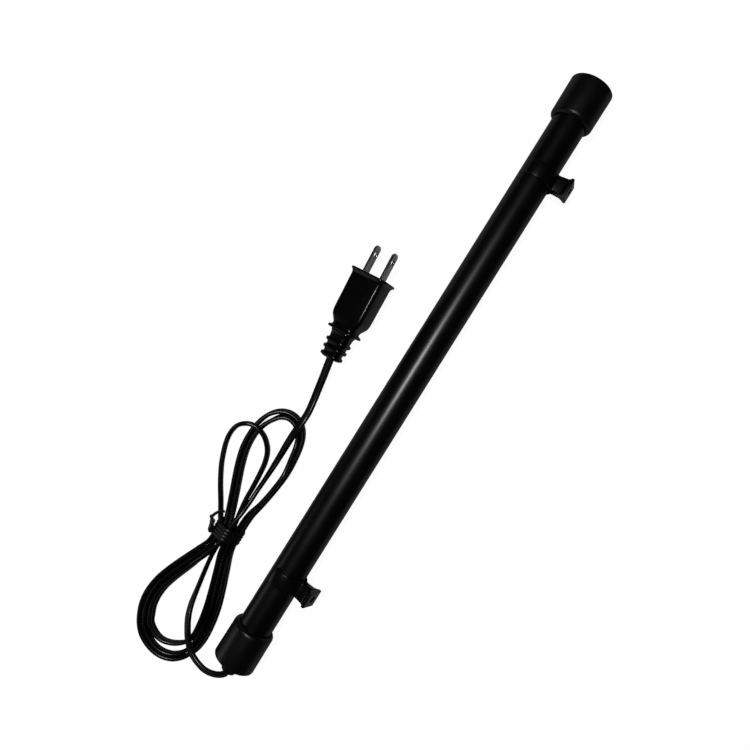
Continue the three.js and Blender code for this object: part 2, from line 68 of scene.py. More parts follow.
Pair = tuple[float, float]
Station = tuple[float, float, float, float]
Output = bpy.types.NodeSocket


class Body(Enum):
    """The bodies that pieces ride on."""

    ROD = "rod"
    CLIP_PLAIN = "clip_plain_end"
    CLIP_CORD = "clip_cord_end"


class Slot(Enum):
    """The record's material slots."""

    TUBE = "tube_enamel"
    CAP = "cap_plastic"
    CLIP = "clip_plastic"
    CORD = "cord_pvc"
    TIE = "tie_ribbon"
    PLUG = "plug_pvc"
    BLADE = "blade_nickel"
    SILICONE = "silicone"
    CERAMIC = "ceramic"
    RESISTANCE = "resistance_wire"
    SLEEVE = "glass_sleeve"
    COPPER = "copper"
    FUSE = "fuse_case"
    SHRINK = "shrink_tube"
    WIRE_RED = "wire_red"
    WIRE_WHITE = "wire_white"


class Grain(Enum):
    """How a finish's fine grain lies, as stretch along the piece's own X, Y and Z."""

    EVEN = (1.0, 1.0, 1.0)
    DRAWN = (0.03, 1.0, 1.0)
    BRUSHED = (0.06, 1.0, 1.0)


# ---------- mesh helpers ----------
def finish_mesh(name: str, mesh: bpy.types.Mesh, sharp_deg: float = 35.0) -> bpy.types.Object:
    """Closes, smooths and links a mesh.

    Args:
        name: The piece's name.
        mesh: The mesh, with its vertices in metres.
        sharp_deg: Edges that turn further than this stay sharp.

    Returns:
        The linked object.
    """
    bm = bmesh.new()
    bm.from_mesh(mesh)
    bmesh.ops.remove_doubles(bm, verts=bm.verts, dist=WELD)
    bmesh.ops.recalc_face_normals(bm, faces=bm.faces)
    bm.to_mesh(mesh)
    bm.free()
    for polygon in mesh.polygons:
        polygon.use_smooth = True
    mesh.set_sharp_from_angle(angle=math.radians(sharp_deg))
    mesh.name = name
    piece = bpy.data.objects.new(name, mesh)
    bpy.context.scene.collection.objects.link(piece)
    return piece


def ring_mesh(name: str, rings: Sequence[Sequence[Vector]], sharp_deg: float = 35.0) -> bpy.types.Object:
    """A closed solid through rings of equal count, with a flat cap on each end.

    Args:
        name: The piece's name.
        rings: The rings in order, in millimetres.
        sharp_deg: Edges that turn further than this stay sharp.

    Returns:
        The linked object.
    """
    count = len(rings[0])
    vertices = [p * MM for ring in rings for p in ring]
    faces = []
    for k in range(len(rings) - 1):
        for i in range(count):
            j = (i + 1) % count
            faces.append((k * count + i, k * count + j, (k + 1) * count + j, (k + 1) * count + i))
    last = (len(rings) - 1) * count
    faces.append(tuple(range(count)))
    faces.append(tuple(range(last, last + count)))
    mesh = bpy.data.meshes.new(name)
    mesh.from_pydata(vertices, [], faces)
    return finish_mesh(name, mesh, sharp_deg)


def turned(name: str, profile: Sequence[Pair], axis: Vector, sides: int = 128) -> bpy.types.Object:
    """A solid turned about a line parallel to X.

    Args:
        name: The piece's name.
        profile: Closed outline as (x, radius) in millimetres; points at radius 0 become poles.
        axis: A point on the line, in millimetres.
        sides: Sides of the turning.

    Returns:
        The linked object.
    """
    vertices: list[Vector] = []
    rows: list[list[int]] = []
    for x, radius in profile:
        steps = 1 if radius < 1e-6 else sides
        rows.append(list(range(len(vertices), len(vertices) + steps)))
        for i in range(steps):
            angle = 2 * math.pi * i / sides
            spoke = Vector((x, radius * math.cos(angle), radius * math.sin(angle)))
            vertices.append((axis + spoke) * MM)
    faces: list[tuple[int, ...]] = []
    for k, row in enumerate(rows):
        after = rows[(k + 1) % len(rows)]
        if len(row) == 1 and len(after) == 1:
            continue
        for i in range(sides):
            j = (i + 1) % sides
            corner = [row[i % len(row)], row[j % len(row)], after[j % len(after)], after[i % len(after)]]
            faces.append(tuple(dict.fromkeys(corner)))
    mesh = bpy.data.meshes.new(name)
    mesh.from_pydata(vertices, [], faces)
    return finish_mesh(name, mesh)


def fillet(cx: float, cr: float, radius: float, start: float, end: float, steps: int = 8) -> list[Pair]:
    """Points of an arc in an outline.

    Args:
        cx: The centre along X.
        cr: The centre's distance from the axis.
        radius: The arc's radius.
        start: First angle in degrees.
        end: Last angle in degrees.
        steps: Number of stretches.

    Returns:
        The points as (x, radius).
    """
    points = []
    for i in range(steps + 1):
        a = math.radians(start + (end - start) * i / steps)
        points.append((cx + radius * math.cos(a), cr + radius * math.sin(a)))
    return points


def rounded_ring(x: float, width: float, height: float, radius: float, steps: int = 7) -> list[Vector]:
    """A rounded rectangle across X.

    Args:
        x: Its place along X.
        width: Size along Y.
        height: Size along Z.
        radius: Corner radius.
        steps: Stretches in each corner.

    Returns:
        The ring's points.
    """
    ring = []
    for sy, sz, first in ((1, 1, 0), (-1, 1, 90), (-1, -1, 180), (1, -1, 270)):
        for i in range(steps + 1):
            a = math.radians(first + 90 * i / steps)
            y = sy * (width / 2 - radius) + radius * math.cos(a)
            z = sz * (height / 2 - radius) + radius * math.sin(a)
            ring.append(Vector((x, y, z)))
    return ring


def plate(name: str, outlines: Sequence[Sequence[Pair]], depth: float, bevel: float) -> bpy.types.Mesh:
    """A flat plate with rounded edges, cut to one outline with holes.

    Args:
        name: The mesh's name.
        outlines: The outer outline, then any holes, as (x, y) in millimetres.
        depth: The plate's whole thickness, centred on z = 0.
        bevel: Radius of its rounded edges.

    Returns:
        The mesh, in metres.
    """
    curve = bpy.data.curves.new(name, "CURVE")
    curve.dimensions = "2D"
    curve.fill_mode = "BOTH"
    curve.extrude = (depth / 2 - bevel) * MM
    curve.bevel_depth = bevel * MM
    curve.bevel_resolution = 3
    curve.offset = -bevel * MM
    for outline in outlines:
        spline = curve.splines.new("POLY")
        spline.points.add(len(outline) - 1)
        for point, (x, y) in zip(spline.points, outline):
            point.co = (x * MM, y * MM, 0, 1)
        spline.use_cyclic_u = True
    holder = bpy.data.objects.new(name, curve)
    mesh = bpy.data.meshes.new_from_object(holder)
    bpy.data.objects.remove(holder)
    bpy.data.curves.remove(curve)
    return mesh


def arc(cx: float, cy: float, radius: float, start: float, end: float, steps: int) -> list[Pair]:
    """Points of an arc in a plate's plane.

    Args:
        cx: The centre's x.
        cy: The centre's y.
        radius: The arc's radius.
        start: First angle in degrees.
        end: Last angle in degrees.
        steps: Number of stretches.

    Returns:
        The points as (x, y).
    """
    angles = [math.radians(start + (end - start) * i / steps) for i in range(steps + 1)]
    return [(cx + radius * math.cos(a), cy + radius * math.sin(a)) for a in angles]


def smooth_line(points: Sequence[Vector], step: float) -> list[Vector]:
    """A centripetal Catmull-Rom line through points of any size, walked at even steps.

    Args:
        points: The points; the first three numbers are the place in millimetres.
        step: Distance between samples along the line, in millimetres.

    Returns:
        The samples, with every extra number carried along.
    """
    stretches = 24  # between two points, before the even walk
    padded = [2 * points[0] - points[1], *points, 2 * points[-1] - points[-2]]
    fine: list[Vector] = []
    for i in range(1, len(padded) - 2):
        p0, p1, p2, p3 = padded[i - 1 : i + 3]
        t0 = 0.0
        t1 = t0 + math.sqrt((p1 - p0).to_3d().length)
        t2 = t1 + math.sqrt((p2 - p1).to_3d().length)
        t3 = t2 + math.sqrt((p3 - p2).to_3d().length)
        for k in range(stretches):
            t = t1 + (t2 - t1) * k / stretches
            a1 = p0.lerp(p1, (t - t0) / (t1 - t0))
            a2 = p1.lerp(p2, (t - t1) / (t2 - t1))
            a3 = p2.lerp(p3, (t - t2) / (t3 - t2))
            b1 = a1.lerp(a2, (t - t0) / (t2 - t0))
            b2 = a2.lerp(a3, (t - t1) / (t3 - t1))
            fine.append(b1.lerp(b2, (t - t1) / (t2 - t1)))
    fine.append(padded[-2])
    return even_steps(fine, step)


def even_steps(line: Sequence[Vector], step: float) -> list[Vector]:
    """Spaces a line's samples evenly.

    Args:
        line: The line.
        step: Distance between samples, in millimetres; it is fitted to the line's length.

    Returns:
        The samples.
    """
    lengths = [0.0]
    for a, b in zip(line, line[1:]):
        lengths.append(lengths[-1] + (b - a).to_3d().length)
    count = max(2, round(lengths[-1] / step))
    samples, k = [], 0
    for i in range(count + 1):
        want = lengths[-1] * i / count
        while k < len(line) - 2 and lengths[k + 1] < want:
            k += 1
        span = lengths[k + 1] - lengths[k]
        samples.append(line[k].lerp(line[k + 1], (want - lengths[k]) / span if span > 0 else 0.0))
    return samples


# ---------- shader groups ----------
class Shader:
    """A node tree with short ways to add and join nodes."""

    def __init__(self, tree: bpy.types.NodeTree) -> None:
        """Keeps the tree."""
        self.tree = tree

    def node(self, kind: str, **settings: object) -> bpy.types.Node:
        """Adds a node.

        Args:
            kind: Blender's node type.
            settings: Properties of the node.

        Returns:
            The node.
        """
        made = self.tree.nodes.new(kind)
        for key, value in settings.items():
            setattr(made, key, value)
        return made

    def feed(self, socket: bpy.types.NodeSocket, value: object) -> None:
        """Joins an output to a socket, or sets the socket's value.

        Args:
            socket: The socket.
            value: An output, or a plain value.
        """
        if isinstance(value, bpy.types.NodeSocket):
            self.tree.links.new(value, socket)
        else:
            socket.default_value = value

    def math(self, operation: str, *values: object, clamp: bool = False) -> Output:
        """A math node's result.

        Args:
            operation: The node's operation.
            values: Numbers or outputs, in order.
            clamp: Whether the result is held between 0 and 1.

        Returns:
            The output.
        """
        made = self.node("ShaderNodeMath", operation=operation, use_clamp=clamp)
        for socket, value in zip(made.inputs, values):
            self.feed(socket, value)
        return made.outputs[0]

    def vector_math(self, operation: str, *values: object) -> Output:
        """A vector math node's vector result.

        Args:
            operation: The node's operation.
            values: Vectors or outputs, in order.

        Returns:
            The output.
        """
        made = self.node("ShaderNodeVectorMath", operation=operation)
        for socket, value in zip(made.inputs, values):
            self.feed(socket, value)
        return made.outputs[0]

    def noise(self, vector: object, scale: object, detail: float, roughness: float = 0.6) -> Output:
        """A noise texture's value.

        Args:
            vector: Where it is looked up.
            scale: Its features per metre.
            detail: Its octaves.
            roughness: The share that each finer octave keeps.

        Returns:
            The output.
        """
        made = self.node("ShaderNodeTexNoise")
        given = {"Vector": vector, "Scale": scale, "Detail": detail, "Roughness": roughness}
        for name, value in given.items():
            self.feed(made.inputs[name], value)
        return made.outputs[0]

    def spread(self, value: object, low: float, high: float, to_low: float, to_high: float) -> Output:
        """Moves a value from one range to another and holds it inside that one.

        Args:
            value: The value.
            low: Start of its own range.
            high: End of its own range.
            to_low: Start of the new range.
            to_high: End of the new range.

        Returns:
            The output.
        """
        made = self.node("ShaderNodeMapRange")
        for socket, given in zip(made.inputs, (value, low, high, to_low, to_high)):
            self.feed(socket, given)
        return made.outputs[0]

    def blend(self, share: object, first: object, second: object) -> Output:
        """Mixes two colours.

        Args:
            share: How much of the second is taken.
            first: The first colour.
            second: The second colour.

        Returns:
            The output.
        """
        factor, colour_a, colour_b, result = 0, 6, 7, 2  # the node's colour sockets
        made = self.node("ShaderNodeMix", data_type="RGBA")
        for index, given in ((factor, share), (colour_a, first), (colour_b, second)):
            self.feed(made.inputs[index], given)
        return made.outputs[result]


class GroupKit:
    """The shared effects, each a node group that is built once."""

    def __init__(self) -> None:
        """Starts with no group built."""
        self.built: dict[str, bpy.types.NodeTree] = {}

    def place(self, shader: Shader, name: str, **inputs: object) -> bpy.types.Node:
        """Places a group in a material.

        Args:
            shader: The material's tree.
            name: The group: grain, wear, dust or braid.
            inputs: Values for its named inputs.

        Returns:
            The group node.
        """
        if name not in self.built:
            self.built[name] = getattr(self, f"_{name}")()
        made = shader.node("ShaderNodeGroup")
        made.node_tree = self.built[name]
        for key, value in inputs.items():
            shader.feed(made.inputs[key.replace("_", " ").title()], value)
        return made

    @staticmethod
    def _tree(
        name: str, inputs: dict[str, object], outputs: Iterable[str],
    ) -> tuple[Shader, dict[str, Output], bpy.types.Node]:
        """An empty group with named sockets.

        Args:
            name: The group's name.
            inputs: Starting values by name; a tuple makes a vector socket, and None an unset one.
            outputs: Names of its value outputs.

        Returns:
            The shader helper, its inputs by name and the output node.
        """
        tree = bpy.data.node_groups.new(name, "ShaderNodeTree")
        for key, start in inputs.items():
            kind = "NodeSocketFloat" if isinstance(start, float) else "NodeSocketVector"
            socket = tree.interface.new_socket(key, in_out="INPUT", socket_type=kind)
            if start is not None:
                socket.default_value = start
        for key in outputs:
            tree.interface.new_socket(key, in_out="OUTPUT", socket_type="NodeSocketFloat")
        shader = Shader(tree)
        given = shader.node("NodeGroupInput")
        return shader, {s.name: s for s in given.outputs if s.name}, shader.node("NodeGroupOutput")

    def _grain(self) -> bpy.types.NodeTree:
        """Fine grain: a height for bump, and a slow drift of tone.

        Returns:
            The group.
        """
        inputs = {"Vector": None, "Scale": 4000.0, "Stretch": (1.0, 1.0, 1.0)}
        shader, given, out = self._tree("fine_grain", inputs, ("Height", "Tone"))
        along = shader.vector_math("MULTIPLY", given["Vector"], given["Stretch"])
        fine = shader.noise(along, given["Scale"], 3.0)
        coarse = shader.noise(along, shader.math("MULTIPLY", given["Scale"], 0.22), 2.0)
        height = shader.math("MULTIPLY_ADD", coarse, 0.45, fine)
        slow = shader.noise(given["Vector"], shader.math("MULTIPLY", given["Scale"], 0.02), 4.0)
        shader.feed(out.inputs["Height"], height)
        shader.feed(out.inputs["Tone"], shader.spread(slow, 0.3, 0.7, 0.0, 1.0))
        return shader.tree

    def _wear(self) -> bpy.types.NodeTree:
        """Wear: where edges stand out, broken up by noise.

        Returns:
            The group.
        """
        inputs = {"Vector": None, "Scale": 900.0, "Amount": 0.3}
        shader, given, out = self._tree("edge_wear", inputs, ("Mask",))
        pointed = shader.node("ShaderNodeNewGeometry").outputs["Pointiness"]
        edge = shader.spread(pointed, 0.505, 0.56, 0.0, 1.0)
        patches = shader.spread(shader.noise(given["Vector"], given["Scale"], 5.0), 0.42, 0.64, 0.0, 1.0)
        mask = shader.math("MULTIPLY", shader.math("MULTIPLY", edge, patches), given["Amount"])
        shader.feed(out.inputs["Mask"], mask)
        return shader.tree

    def _dust(self) -> bpy.types.NodeTree:
        """Dust: thin specks that settle on the faces that look up.

        Returns:
            The group.
        """
        inputs = {"Vector": None, "Scale": 700.0, "Amount": 0.1}
        shader, given, out = self._tree("settled_dust", inputs, ("Mask",))
        parts = shader.node("ShaderNodeSeparateXYZ")
        shader.feed(parts.inputs[0], shader.node("ShaderNodeNewGeometry").outputs["Normal"])
        up = shader.spread(parts.outputs[2], 0.2, 1.0, 0.0, 1.0)
        film = shader.spread(shader.noise(given["Vector"], given["Scale"], 6.0, 0.7), 0.45, 0.75, 0.0, 1.0)
        mask = shader.math("MULTIPLY", shader.math("MULTIPLY", up, film), given["Amount"])
        shader.feed(out.inputs["Mask"], mask)
        return shader.tree

    def _braid(self) -> bpy.types.NodeTree:
        """A braid of crossing strands round X, as a height.

        Returns:
            The group.
        """
        sleeve_radius = 0.0065
        shader, given, out = self._tree("braid", {"Vector": None, "Scale": 500.0}, ("Height",))
        parts = shader.node("ShaderNodeSeparateXYZ")
        shader.feed(parts.inputs[0], given["Vector"])
        angle = shader.math("ARCTAN2", parts.outputs[2], parts.outputs[1])
        around = shader.math("MULTIPLY", angle, sleeve_radius)
        ways = []
        for way in ("ADD", "SUBTRACT"):
            phase = shader.math("MULTIPLY", shader.math(way, parts.outputs[0], around), given["Scale"])
            ways.append(shader.math("ABSOLUTE", shader.math("SINE", phase)))
        shader.feed(out.inputs["Height"], shader.math("MAXIMUM", *ways))
        return shader.tree


KIT = GroupKit()
DUST_COLOUR = (0.32, 0.31, 0.29, 1.0)
DUST_DULLS = 0.5  # roughness that a full coat of dust adds
BRAID_RELIEF = 6.0  # height of a braid's strands against the fine grain


@dataclass(frozen=True)
class Finish:
    """A surface finish, with its colour, gloss and fine detail.

    Attributes:
        slot: The record's material slot.
        colour: Base colour.
        drift: Colour that the slow tone leans to.
        gloss: Lowest and highest roughness.
        metallic: Metal share.
        grain: How the grain lies.
        grain_scale: Grain per metre.
        depth: Grain height in metres.
        worn: Colour under the worn edges.
        wear: Amount of wear.
        dust: Amount of dust.
        braided: Whether the surface is a braid.
    """

    slot: Slot
    colour: Colour
    drift: Colour
    gloss: Pair
    metallic: float = 0.0
    grain: Grain = Grain.EVEN
    grain_scale: float = 4000.0
    depth: float = 0.00001
    worn: Colour = (0.03, 0.03, 0.03)
    wear: float = 0.3
    dust: float = 0.02
    braided: bool = False

    def material(self) -> bpy.types.Material:
        """Finds the finish's material, or builds it the first time it is asked for.

        Returns:
            The material.
        """
        name = f"{self.slot.value}_finish"
        return bpy.data.materials.get(name) or self._built(name)

    def _built(self, name: str) -> bpy.types.Material:
        """Builds the material.

        Args:
            name: The material's name.

        Returns:
            The material.
        """
        made = bpy.data.materials.new(name)
        made.use_nodes = True
        made.diffuse_color = (*self.colour, 1.0)
        shader = Shader(made.node_tree)
        principled = made.node_tree.nodes["Principled BSDF"]
        place = shader.node("ShaderNodeTexCoord").outputs["Object"]
        grain = KIT.place(shader, "grain", vector=place, scale=self.grain_scale, stretch=self.grain.value)
        wear = KIT.place(shader, "wear", vector=place, amount=self.wear)
        dust = KIT.place(shader, "dust", vector=place, amount=self.dust)
        colour = shader.blend(grain.outputs["Tone"], (*self.colour, 1.0), (*self.drift, 1.0))
        colour = shader.blend(wear.outputs["Mask"], colour, (*self.worn, 1.0))
        colour = shader.blend(dust.outputs["Mask"], colour, DUST_COLOUR)
        rough = shader.spread(grain.outputs["Tone"], 0.0, 1.0, *self.gloss)
        dulled = shader.math("MULTIPLY", dust.outputs["Mask"], DUST_DULLS)
        rough = shader.math("ADD", rough, dulled, clamp=True)
        height = grain.outputs["Height"]
        if self.braided:
            braid = KIT.place(shader, "braid", vector=place)
            height = shader.math("MULTIPLY_ADD", braid.outputs["Height"], BRAID_RELIEF, height)
        bump = shader.node("ShaderNodeBump")
        bump.inputs["Distance"].default_value = self.depth
        shader.feed(bump.inputs["Height"], height)
        shader.feed(principled.inputs["Base Color"], colour)
        shader.feed(principled.inputs["Roughness"], rough)
        shader.feed(principled.inputs["Normal"], bump.outputs[0])
        principled.inputs["Metallic"].default_value = self.metallic
        return made


ENAMEL = Finish(
    Slot.TUBE, (0.0010, 0.0010, 0.0011), (0.0016, 0.0016, 0.0017), (0.29, 0.33),
    grain=Grain.DRAWN, grain_scale=2600.0, depth=0.000003, wear=0.0, dust=0.001,
)
CAP_PLASTIC = Finish(
    Slot.CAP, (0.0011, 0.0011, 0.0012), (0.0018, 0.0018, 0.0019), (0.35, 0.41),
    grain_scale=3200.0, depth=0.000005, wear=0.05, dust=0.0015,
)
CLIP_PLASTIC = Finish(
    Slot.CLIP, (0.0012, 0.0012, 0.0013), (0.0020, 0.0020, 0.0021), (0.24, 0.30),
    grain_scale=3600.0, depth=0.000005, wear=0.06, dust=0.0015,
)
CORD_PVC = Finish(
    Slot.CORD, (0.0016, 0.0016, 0.0017), (0.0026, 0.0026, 0.0027), (0.24, 0.32),
    grain_scale=3000.0, depth=0.000010, wear=0.03, dust=0.002,
)
TIE_RIBBON = Finish(
    Slot.TIE, (0.0016, 0.0016, 0.0017), (0.0030, 0.0030, 0.0031), (0.36, 0.46),
    grain_scale=5200.0, depth=0.000010, wear=0.08, dust=0.002,
)
PLUG_PVC = Finish(
    Slot.PLUG, (0.0014, 0.0014, 0.0018), (0.0022, 0.0022, 0.0028), (0.20, 0.28),
    grain_scale=3400.0, depth=0.000004, wear=0.04, dust=0.0015,
)
BLADE_METAL = Finish(
    Slot.BLADE, (0.50, 0.49, 0.47), (0.62, 0.61, 0.58), (0.16, 0.24), metallic=1.0,
    grain=Grain.BRUSHED, grain_scale=5000.0, depth=0.0000012, worn=(0.62, 0.58, 0.48), wear=0.3, dust=0.0,
)
SILICONE = Finish(
    Slot.SILICONE, (0.36, 0.075, 0.035), (0.42, 0.095, 0.045), (0.55, 0.7),
    grain_scale=3800.0, depth=0.000015, worn=(0.5, 0.2, 0.12), wear=0.2,
)
CERAMIC = Finish(
    Slot.CERAMIC, (0.76, 0.72, 0.62), (0.68, 0.63, 0.53), (0.6, 0.8),
    grain_scale=5200.0, depth=0.00003, worn=(0.55, 0.5, 0.42), wear=0.3,
)
RESISTANCE = Finish(
    Slot.RESISTANCE, (0.30, 0.28, 0.26), (0.22, 0.18, 0.16), (0.3, 0.45), metallic=1.0,
    grain_scale=6000.0, depth=0.000006, worn=(0.45, 0.42, 0.38), wear=0.3,
)
GLASS_SLEEVE = Finish(
    Slot.SLEEVE, (0.70, 0.64, 0.46), (0.60, 0.53, 0.36), (0.6, 0.85),
    grain_scale=6500.0, depth=0.00002, worn=(0.8, 0.76, 0.6), wear=0.2, braided=True,
)
COPPER = Finish(
    Slot.COPPER, (0.60, 0.26, 0.13), (0.48, 0.19, 0.10), (0.3, 0.45), metallic=1.0,
    grain_scale=5000.0, depth=0.000008, worn=(0.8, 0.45, 0.28), wear=0.5,
)
FUSE_CASE = Finish(
    Slot.FUSE, (0.55, 0.54, 0.50), (0.46, 0.45, 0.42), (0.25, 0.4), metallic=1.0,
    grain=Grain.BRUSHED, grain_scale=6000.0, depth=0.000006, worn=(0.7, 0.7, 0.66), wear=0.4,
)
SHRINK = Finish(
    Slot.SHRINK, (0.010, 0.010, 0.011), (0.016, 0.016, 0.017), (0.5, 0.65),
    grain_scale=3500.0, depth=0.00002, worn=(0.08, 0.08, 0.08), wear=0.2,
)
WIRE_RED = Finish(
    Slot.WIRE_RED, (0.27, 0.012, 0.010), (0.33, 0.020, 0.015), (0.4, 0.55),
    grain_scale=3600.0, depth=0.00001, worn=(0.4, 0.1, 0.08), wear=0.2,
)
WIRE_WHITE = Finish(
    Slot.WIRE_WHITE, (0.68, 0.68, 0.64), (0.60, 0.59, 0.54), (0.4, 0.55),
    grain_scale=3600.0, depth=0.00001, worn=(0.5, 0.49, 0.45), wear=0.2,
)


# ---------- sub-assemblies ----------
@dataclass
class Assembly:
    """What every sub-assembly shares.

    Attributes:
        axis: A point on the rod's axis, in millimetres.
    """

    axis: Vector

    def dress(
        self, piece: bpy.types.Object, finish: Finish, body: Body, *stands_for: str,
    ) -> bpy.types.Object:
        """Gives a piece its finish and its body.

        Args:
            piece: The piece, in place.
            finish: Its finish.
            body: The body that it rides on.
            stands_for: CAD nodes that it is shown for.

        Returns:
            The piece.
        """
        piece.data.materials.clear()
        piece.data.materials.append(finish.material())
        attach(piece, body.value)
        if stands_for:
            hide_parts(*stands_for)
        LOG.info("%s rides on %s", piece.name, body.value)
        return piece


@dataclass
class Stop:
    """A point of the lead's route.

    Attributes:
        x: Along the rod from its middle.
        y: Across from the rod's axis.
        z: Height of the lead's middle above the floor.
        roll: Degrees that its width leans from upright to the right of its way.
        gap: Space added between it and the run laid beside it.
    """

    x: float
    y: float
    z: float = 2.62
    roll: float = 0.0
    gap: float = 0.0


def stops(points: Iterable[Sequence[float]]) -> list[Stop]:
    """Route points from plain tuples."""
    return [Stop(*p) for p in points]


@dataclass
class Lead(Assembly):
    """The flat two-core lead, from the cord-end cap through the tied hank to the plug.

    Attributes:
        width: Across both cores.
        thickness: Across one core.
        groove: Depth of the valley between the cores.
        step: Spacing of the rings along it.
        pitch: Spacing of runs that lie side by side on edge.
        lean_pitch: What each degree of roll adds to that spacing.
        tie_x: Where the tie holds the runs.
        tie_first: Y of the run at the tie that is nearest the rod.
        tie_half: Half the straight stretch in the tie.
        held: Height of the runs' middles in the tie.
        top_place: Which run the one on top of the row lies over, counted from the rod.
        over: Height of a run's middle where it crosses one run on the floor.
        exit_x: Where the lead leaves the grommet; not used.
    """

    width: float = 5.2
    thickness: float = 2.8
    groove: float = 0.32
    step: float = 1.3
    pitch: float = 2.86
    lean_pitch: float = 0.013
    tie_x: float = -140.0
    tie_first: float = 37.3
    tie_half: float = 3.5
    held: float = 3.3
    top_place: float = 2.45
    over: float = 7.9
    exit_x: float = -207.0

    def _tie_stops(self, place: float, backward: bool, height: float | None = None) -> list[Stop]:
        """The short straight stretch in the tie.

        Args:
            place: Which run, counted from the rod.
            backward: Whether the lead runs towards the cord end there.
            height: Height of its middle, if it isn't on the bottom row.

        Returns:
            Its two stops in the lead's order.
        """
        y = self.tie_first + place * self.pitch
        z = self.held if height is None else height
        pair = [Stop(self.tie_x - self.tie_half, y, z), Stop(self.tie_x + self.tie_half, y, z)]
        return pair[::-1] if backward else pair

    def _beside(self, turn: Sequence[Stop], lanes: int = 1) -> list[Stop]:
        """A turn laid inside a clockwise one.

        Args:
            turn: The outer turn's stops in order.
            lanes: How many runs further in it lies.

        Returns:
            The inner turn's stops.
        """
        inner = []
        for i, stop in enumerate(turn):
            a, b = turn[max(0, i - 1)], turn[min(len(turn) - 1, i + 1)]
            way = Vector((b.x - a.x, b.y - a.y)).normalized()
            apart = lanes * (self.pitch + self.lean_pitch * abs(stop.roll)) + stop.gap
            inner.append(Stop(stop.x + apart * way.y, stop.y - apart * way.x, stop.z, stop.roll))
        return inner

    def _lower_turns(self) -> tuple[list[Stop], list[Stop], list[Stop]]:
        """Lays the turns below the tie.

        Returns:
            The outer, middle and inner turns.
        """
        down = stops([
            (-150.5, 36.2, 2.7, 10), (-160.5, 32.7, 2.62, 18), (-172.6, 28.5, 2.5, 28),
            (-183.8, 25.1, 2.45, 34), (-195.2, 22.9, 2.45, 34), (-205.9, 22.2, 2.45, 32),
        ])
        bottom = stops([
            (-214.5, 23.7, 2.5, 22), (-220.8, 27.3, 2.55, 11), (-225.3, 32.7, 2.6, 5),
            (-227.3, 39.6, 2.62, 2), (-226.9, 45.9, 2.62, 0), (-224.9, 51.6, 2.6, -8),
            (-221.5, 57, 2.55, -18), (-216.7, 61.2, 2.5, -28),
        ])
        back = stops([
            (-211.2, 64.2, 2.45, -34), (-204.7, 66.5, 2.45, -34), (-197, 67.4, 2.45, -34),
            (-187.6, 66.4, 2.45, -32), (-177.4, 63.2, 2.5, -28), (-167.2, 59, 2.55, -22),
            (-156.6, 54.4, 2.7, -12), (-150, 51.8, 2.8, -4),
        ])
        outer = [*down, *bottom, *back]
        short_bottom = stops([
            (-211.4, 30.7, 2.5, 20), (-215.2, 34.9, 2.6, 8), (-217.6, 39.8, 2.62, 4),
            (-218.4, 44.8, 2.62, -4), (-216.9, 50.4, 2.55, -16),
        ])
        lane = self._beside(outer, 2)
        last = lane[len(down) + len(bottom) - 1 : -2]
        rise = stops([(-163.6, 51.2, 4.4, -14), (-156.6, 48.4, 7, -6)])
        return outer, self._beside(outer), [*lane[: len(down)], *short_bottom, *last, *rise]

    def _upper_turns(self) -> tuple[list[Stop], list[Stop]]:
        """Lays the two big turns above the tie.

        Returns:
            The outer turn, and the one beside it that rides over other runs on its way back.
        """
        outer = stops([
            (-129.5, 50.9, 2.7, -4), (-118.5, 54.9, 2.6, -7), (-109.9, 58.2, 2.6, -8),
            (-99.9, 61.8, 2.6, -8), (-90, 64.4, 2.6, -8), (-81.7, 65.1, 2.6, -8),
            (-75, 64.7, 2.6, -8, 0.2), (-68.8, 63.3, 2.6, -4, 0.8), (-63.4, 60.7, 2.6, 4, 1.2),
            (-59.1, 56.4, 2.5, 14, 0.5), (-56.9, 50.5, 2.5, 20), (-57.5, 44.8, 2.5, 20),
            (-60.6, 39.6, 2.55, 14), (-65.1, 36.3, 2.6, 8), (-71, 34.2, 2.62, 4),
            (-78.6, 32.9, 2.62, 0, -0.2), (-89.9, 32.2, 2.62, 0, -1.3), (-102.3, 33.3, 2.62, 0, -1.4),
            (-113.6, 35.1, 2.62, 0, -1.2), (-123.9, 37, 2.7, 0, -0.3),
        ])
        inner = self._beside(outer)
        for stop, height in zip(inner[-5:], (4.6, 7.9, 8.0, 7.9, 5.6)):
            stop.z = height
        return outer, inner

    def _cap_run(self) -> list[Stop]:
        """Lays the lead from the grommet, down and over the lower turns, to the tie.

        Returns:
            Its stops.
        """
        over = self.over
        return stops([
            (-205.0, 0, 13.3, 50), (-207.3, 0, 13.3, 50), (-210.2, 0.9, 13.3, 50), (-212.9, 4, 13, 50),
            (-214.8, 8.2, 12.2, 50), (-215.6, 12.6, 11.2, 50), (-215.3, 16.4, 10.2, 48),
            (-214.3, 20.6, 9.2, 48), (-212.3, 24.9, 8.4, 48), (-207.5, 30, over, 48),
            (-201.4, 34.2, over, 46), (-195.8, 37.6, 6.8, 42), (-189.4, 40.2, 4.8, 32),
            (-180, 42.2, 3, 18), (-165.3, 44.6, 2.62, 10), (-157, 45.6, 2.8, 4),
        ])

    def _small_turn(self) -> list[Stop]:
        """Lays the small turn above the tie, which rides over the big ones.

        Returns:
            Its stops.
        """
        over = self.over
        return stops([
            (-134, 53.4), (-125.4, 58.6), (-117, 64), (-109.6, 68.2), (-103.8, 71), (-93.1, 74.7),
            (-87.7, 75.5), (-82.2, 74.8, 4.2), (-78.2, 72.7, 6.6), (-75.4, 69.4, over),
            (-74.1, 65.8, over), (-74.4, 61.2, over), (-76.9, 55.8, 6.8, 2), (-83.4, 50.4, 3.8, 6),
            (-90.5, 47.9, 2.7, 8), (-98.6, 46.8, 2.6, 8), (-108.6, 46.1, 2.6, 6), (-116, 45.9),
            (-124.5, 44.9),
        ])

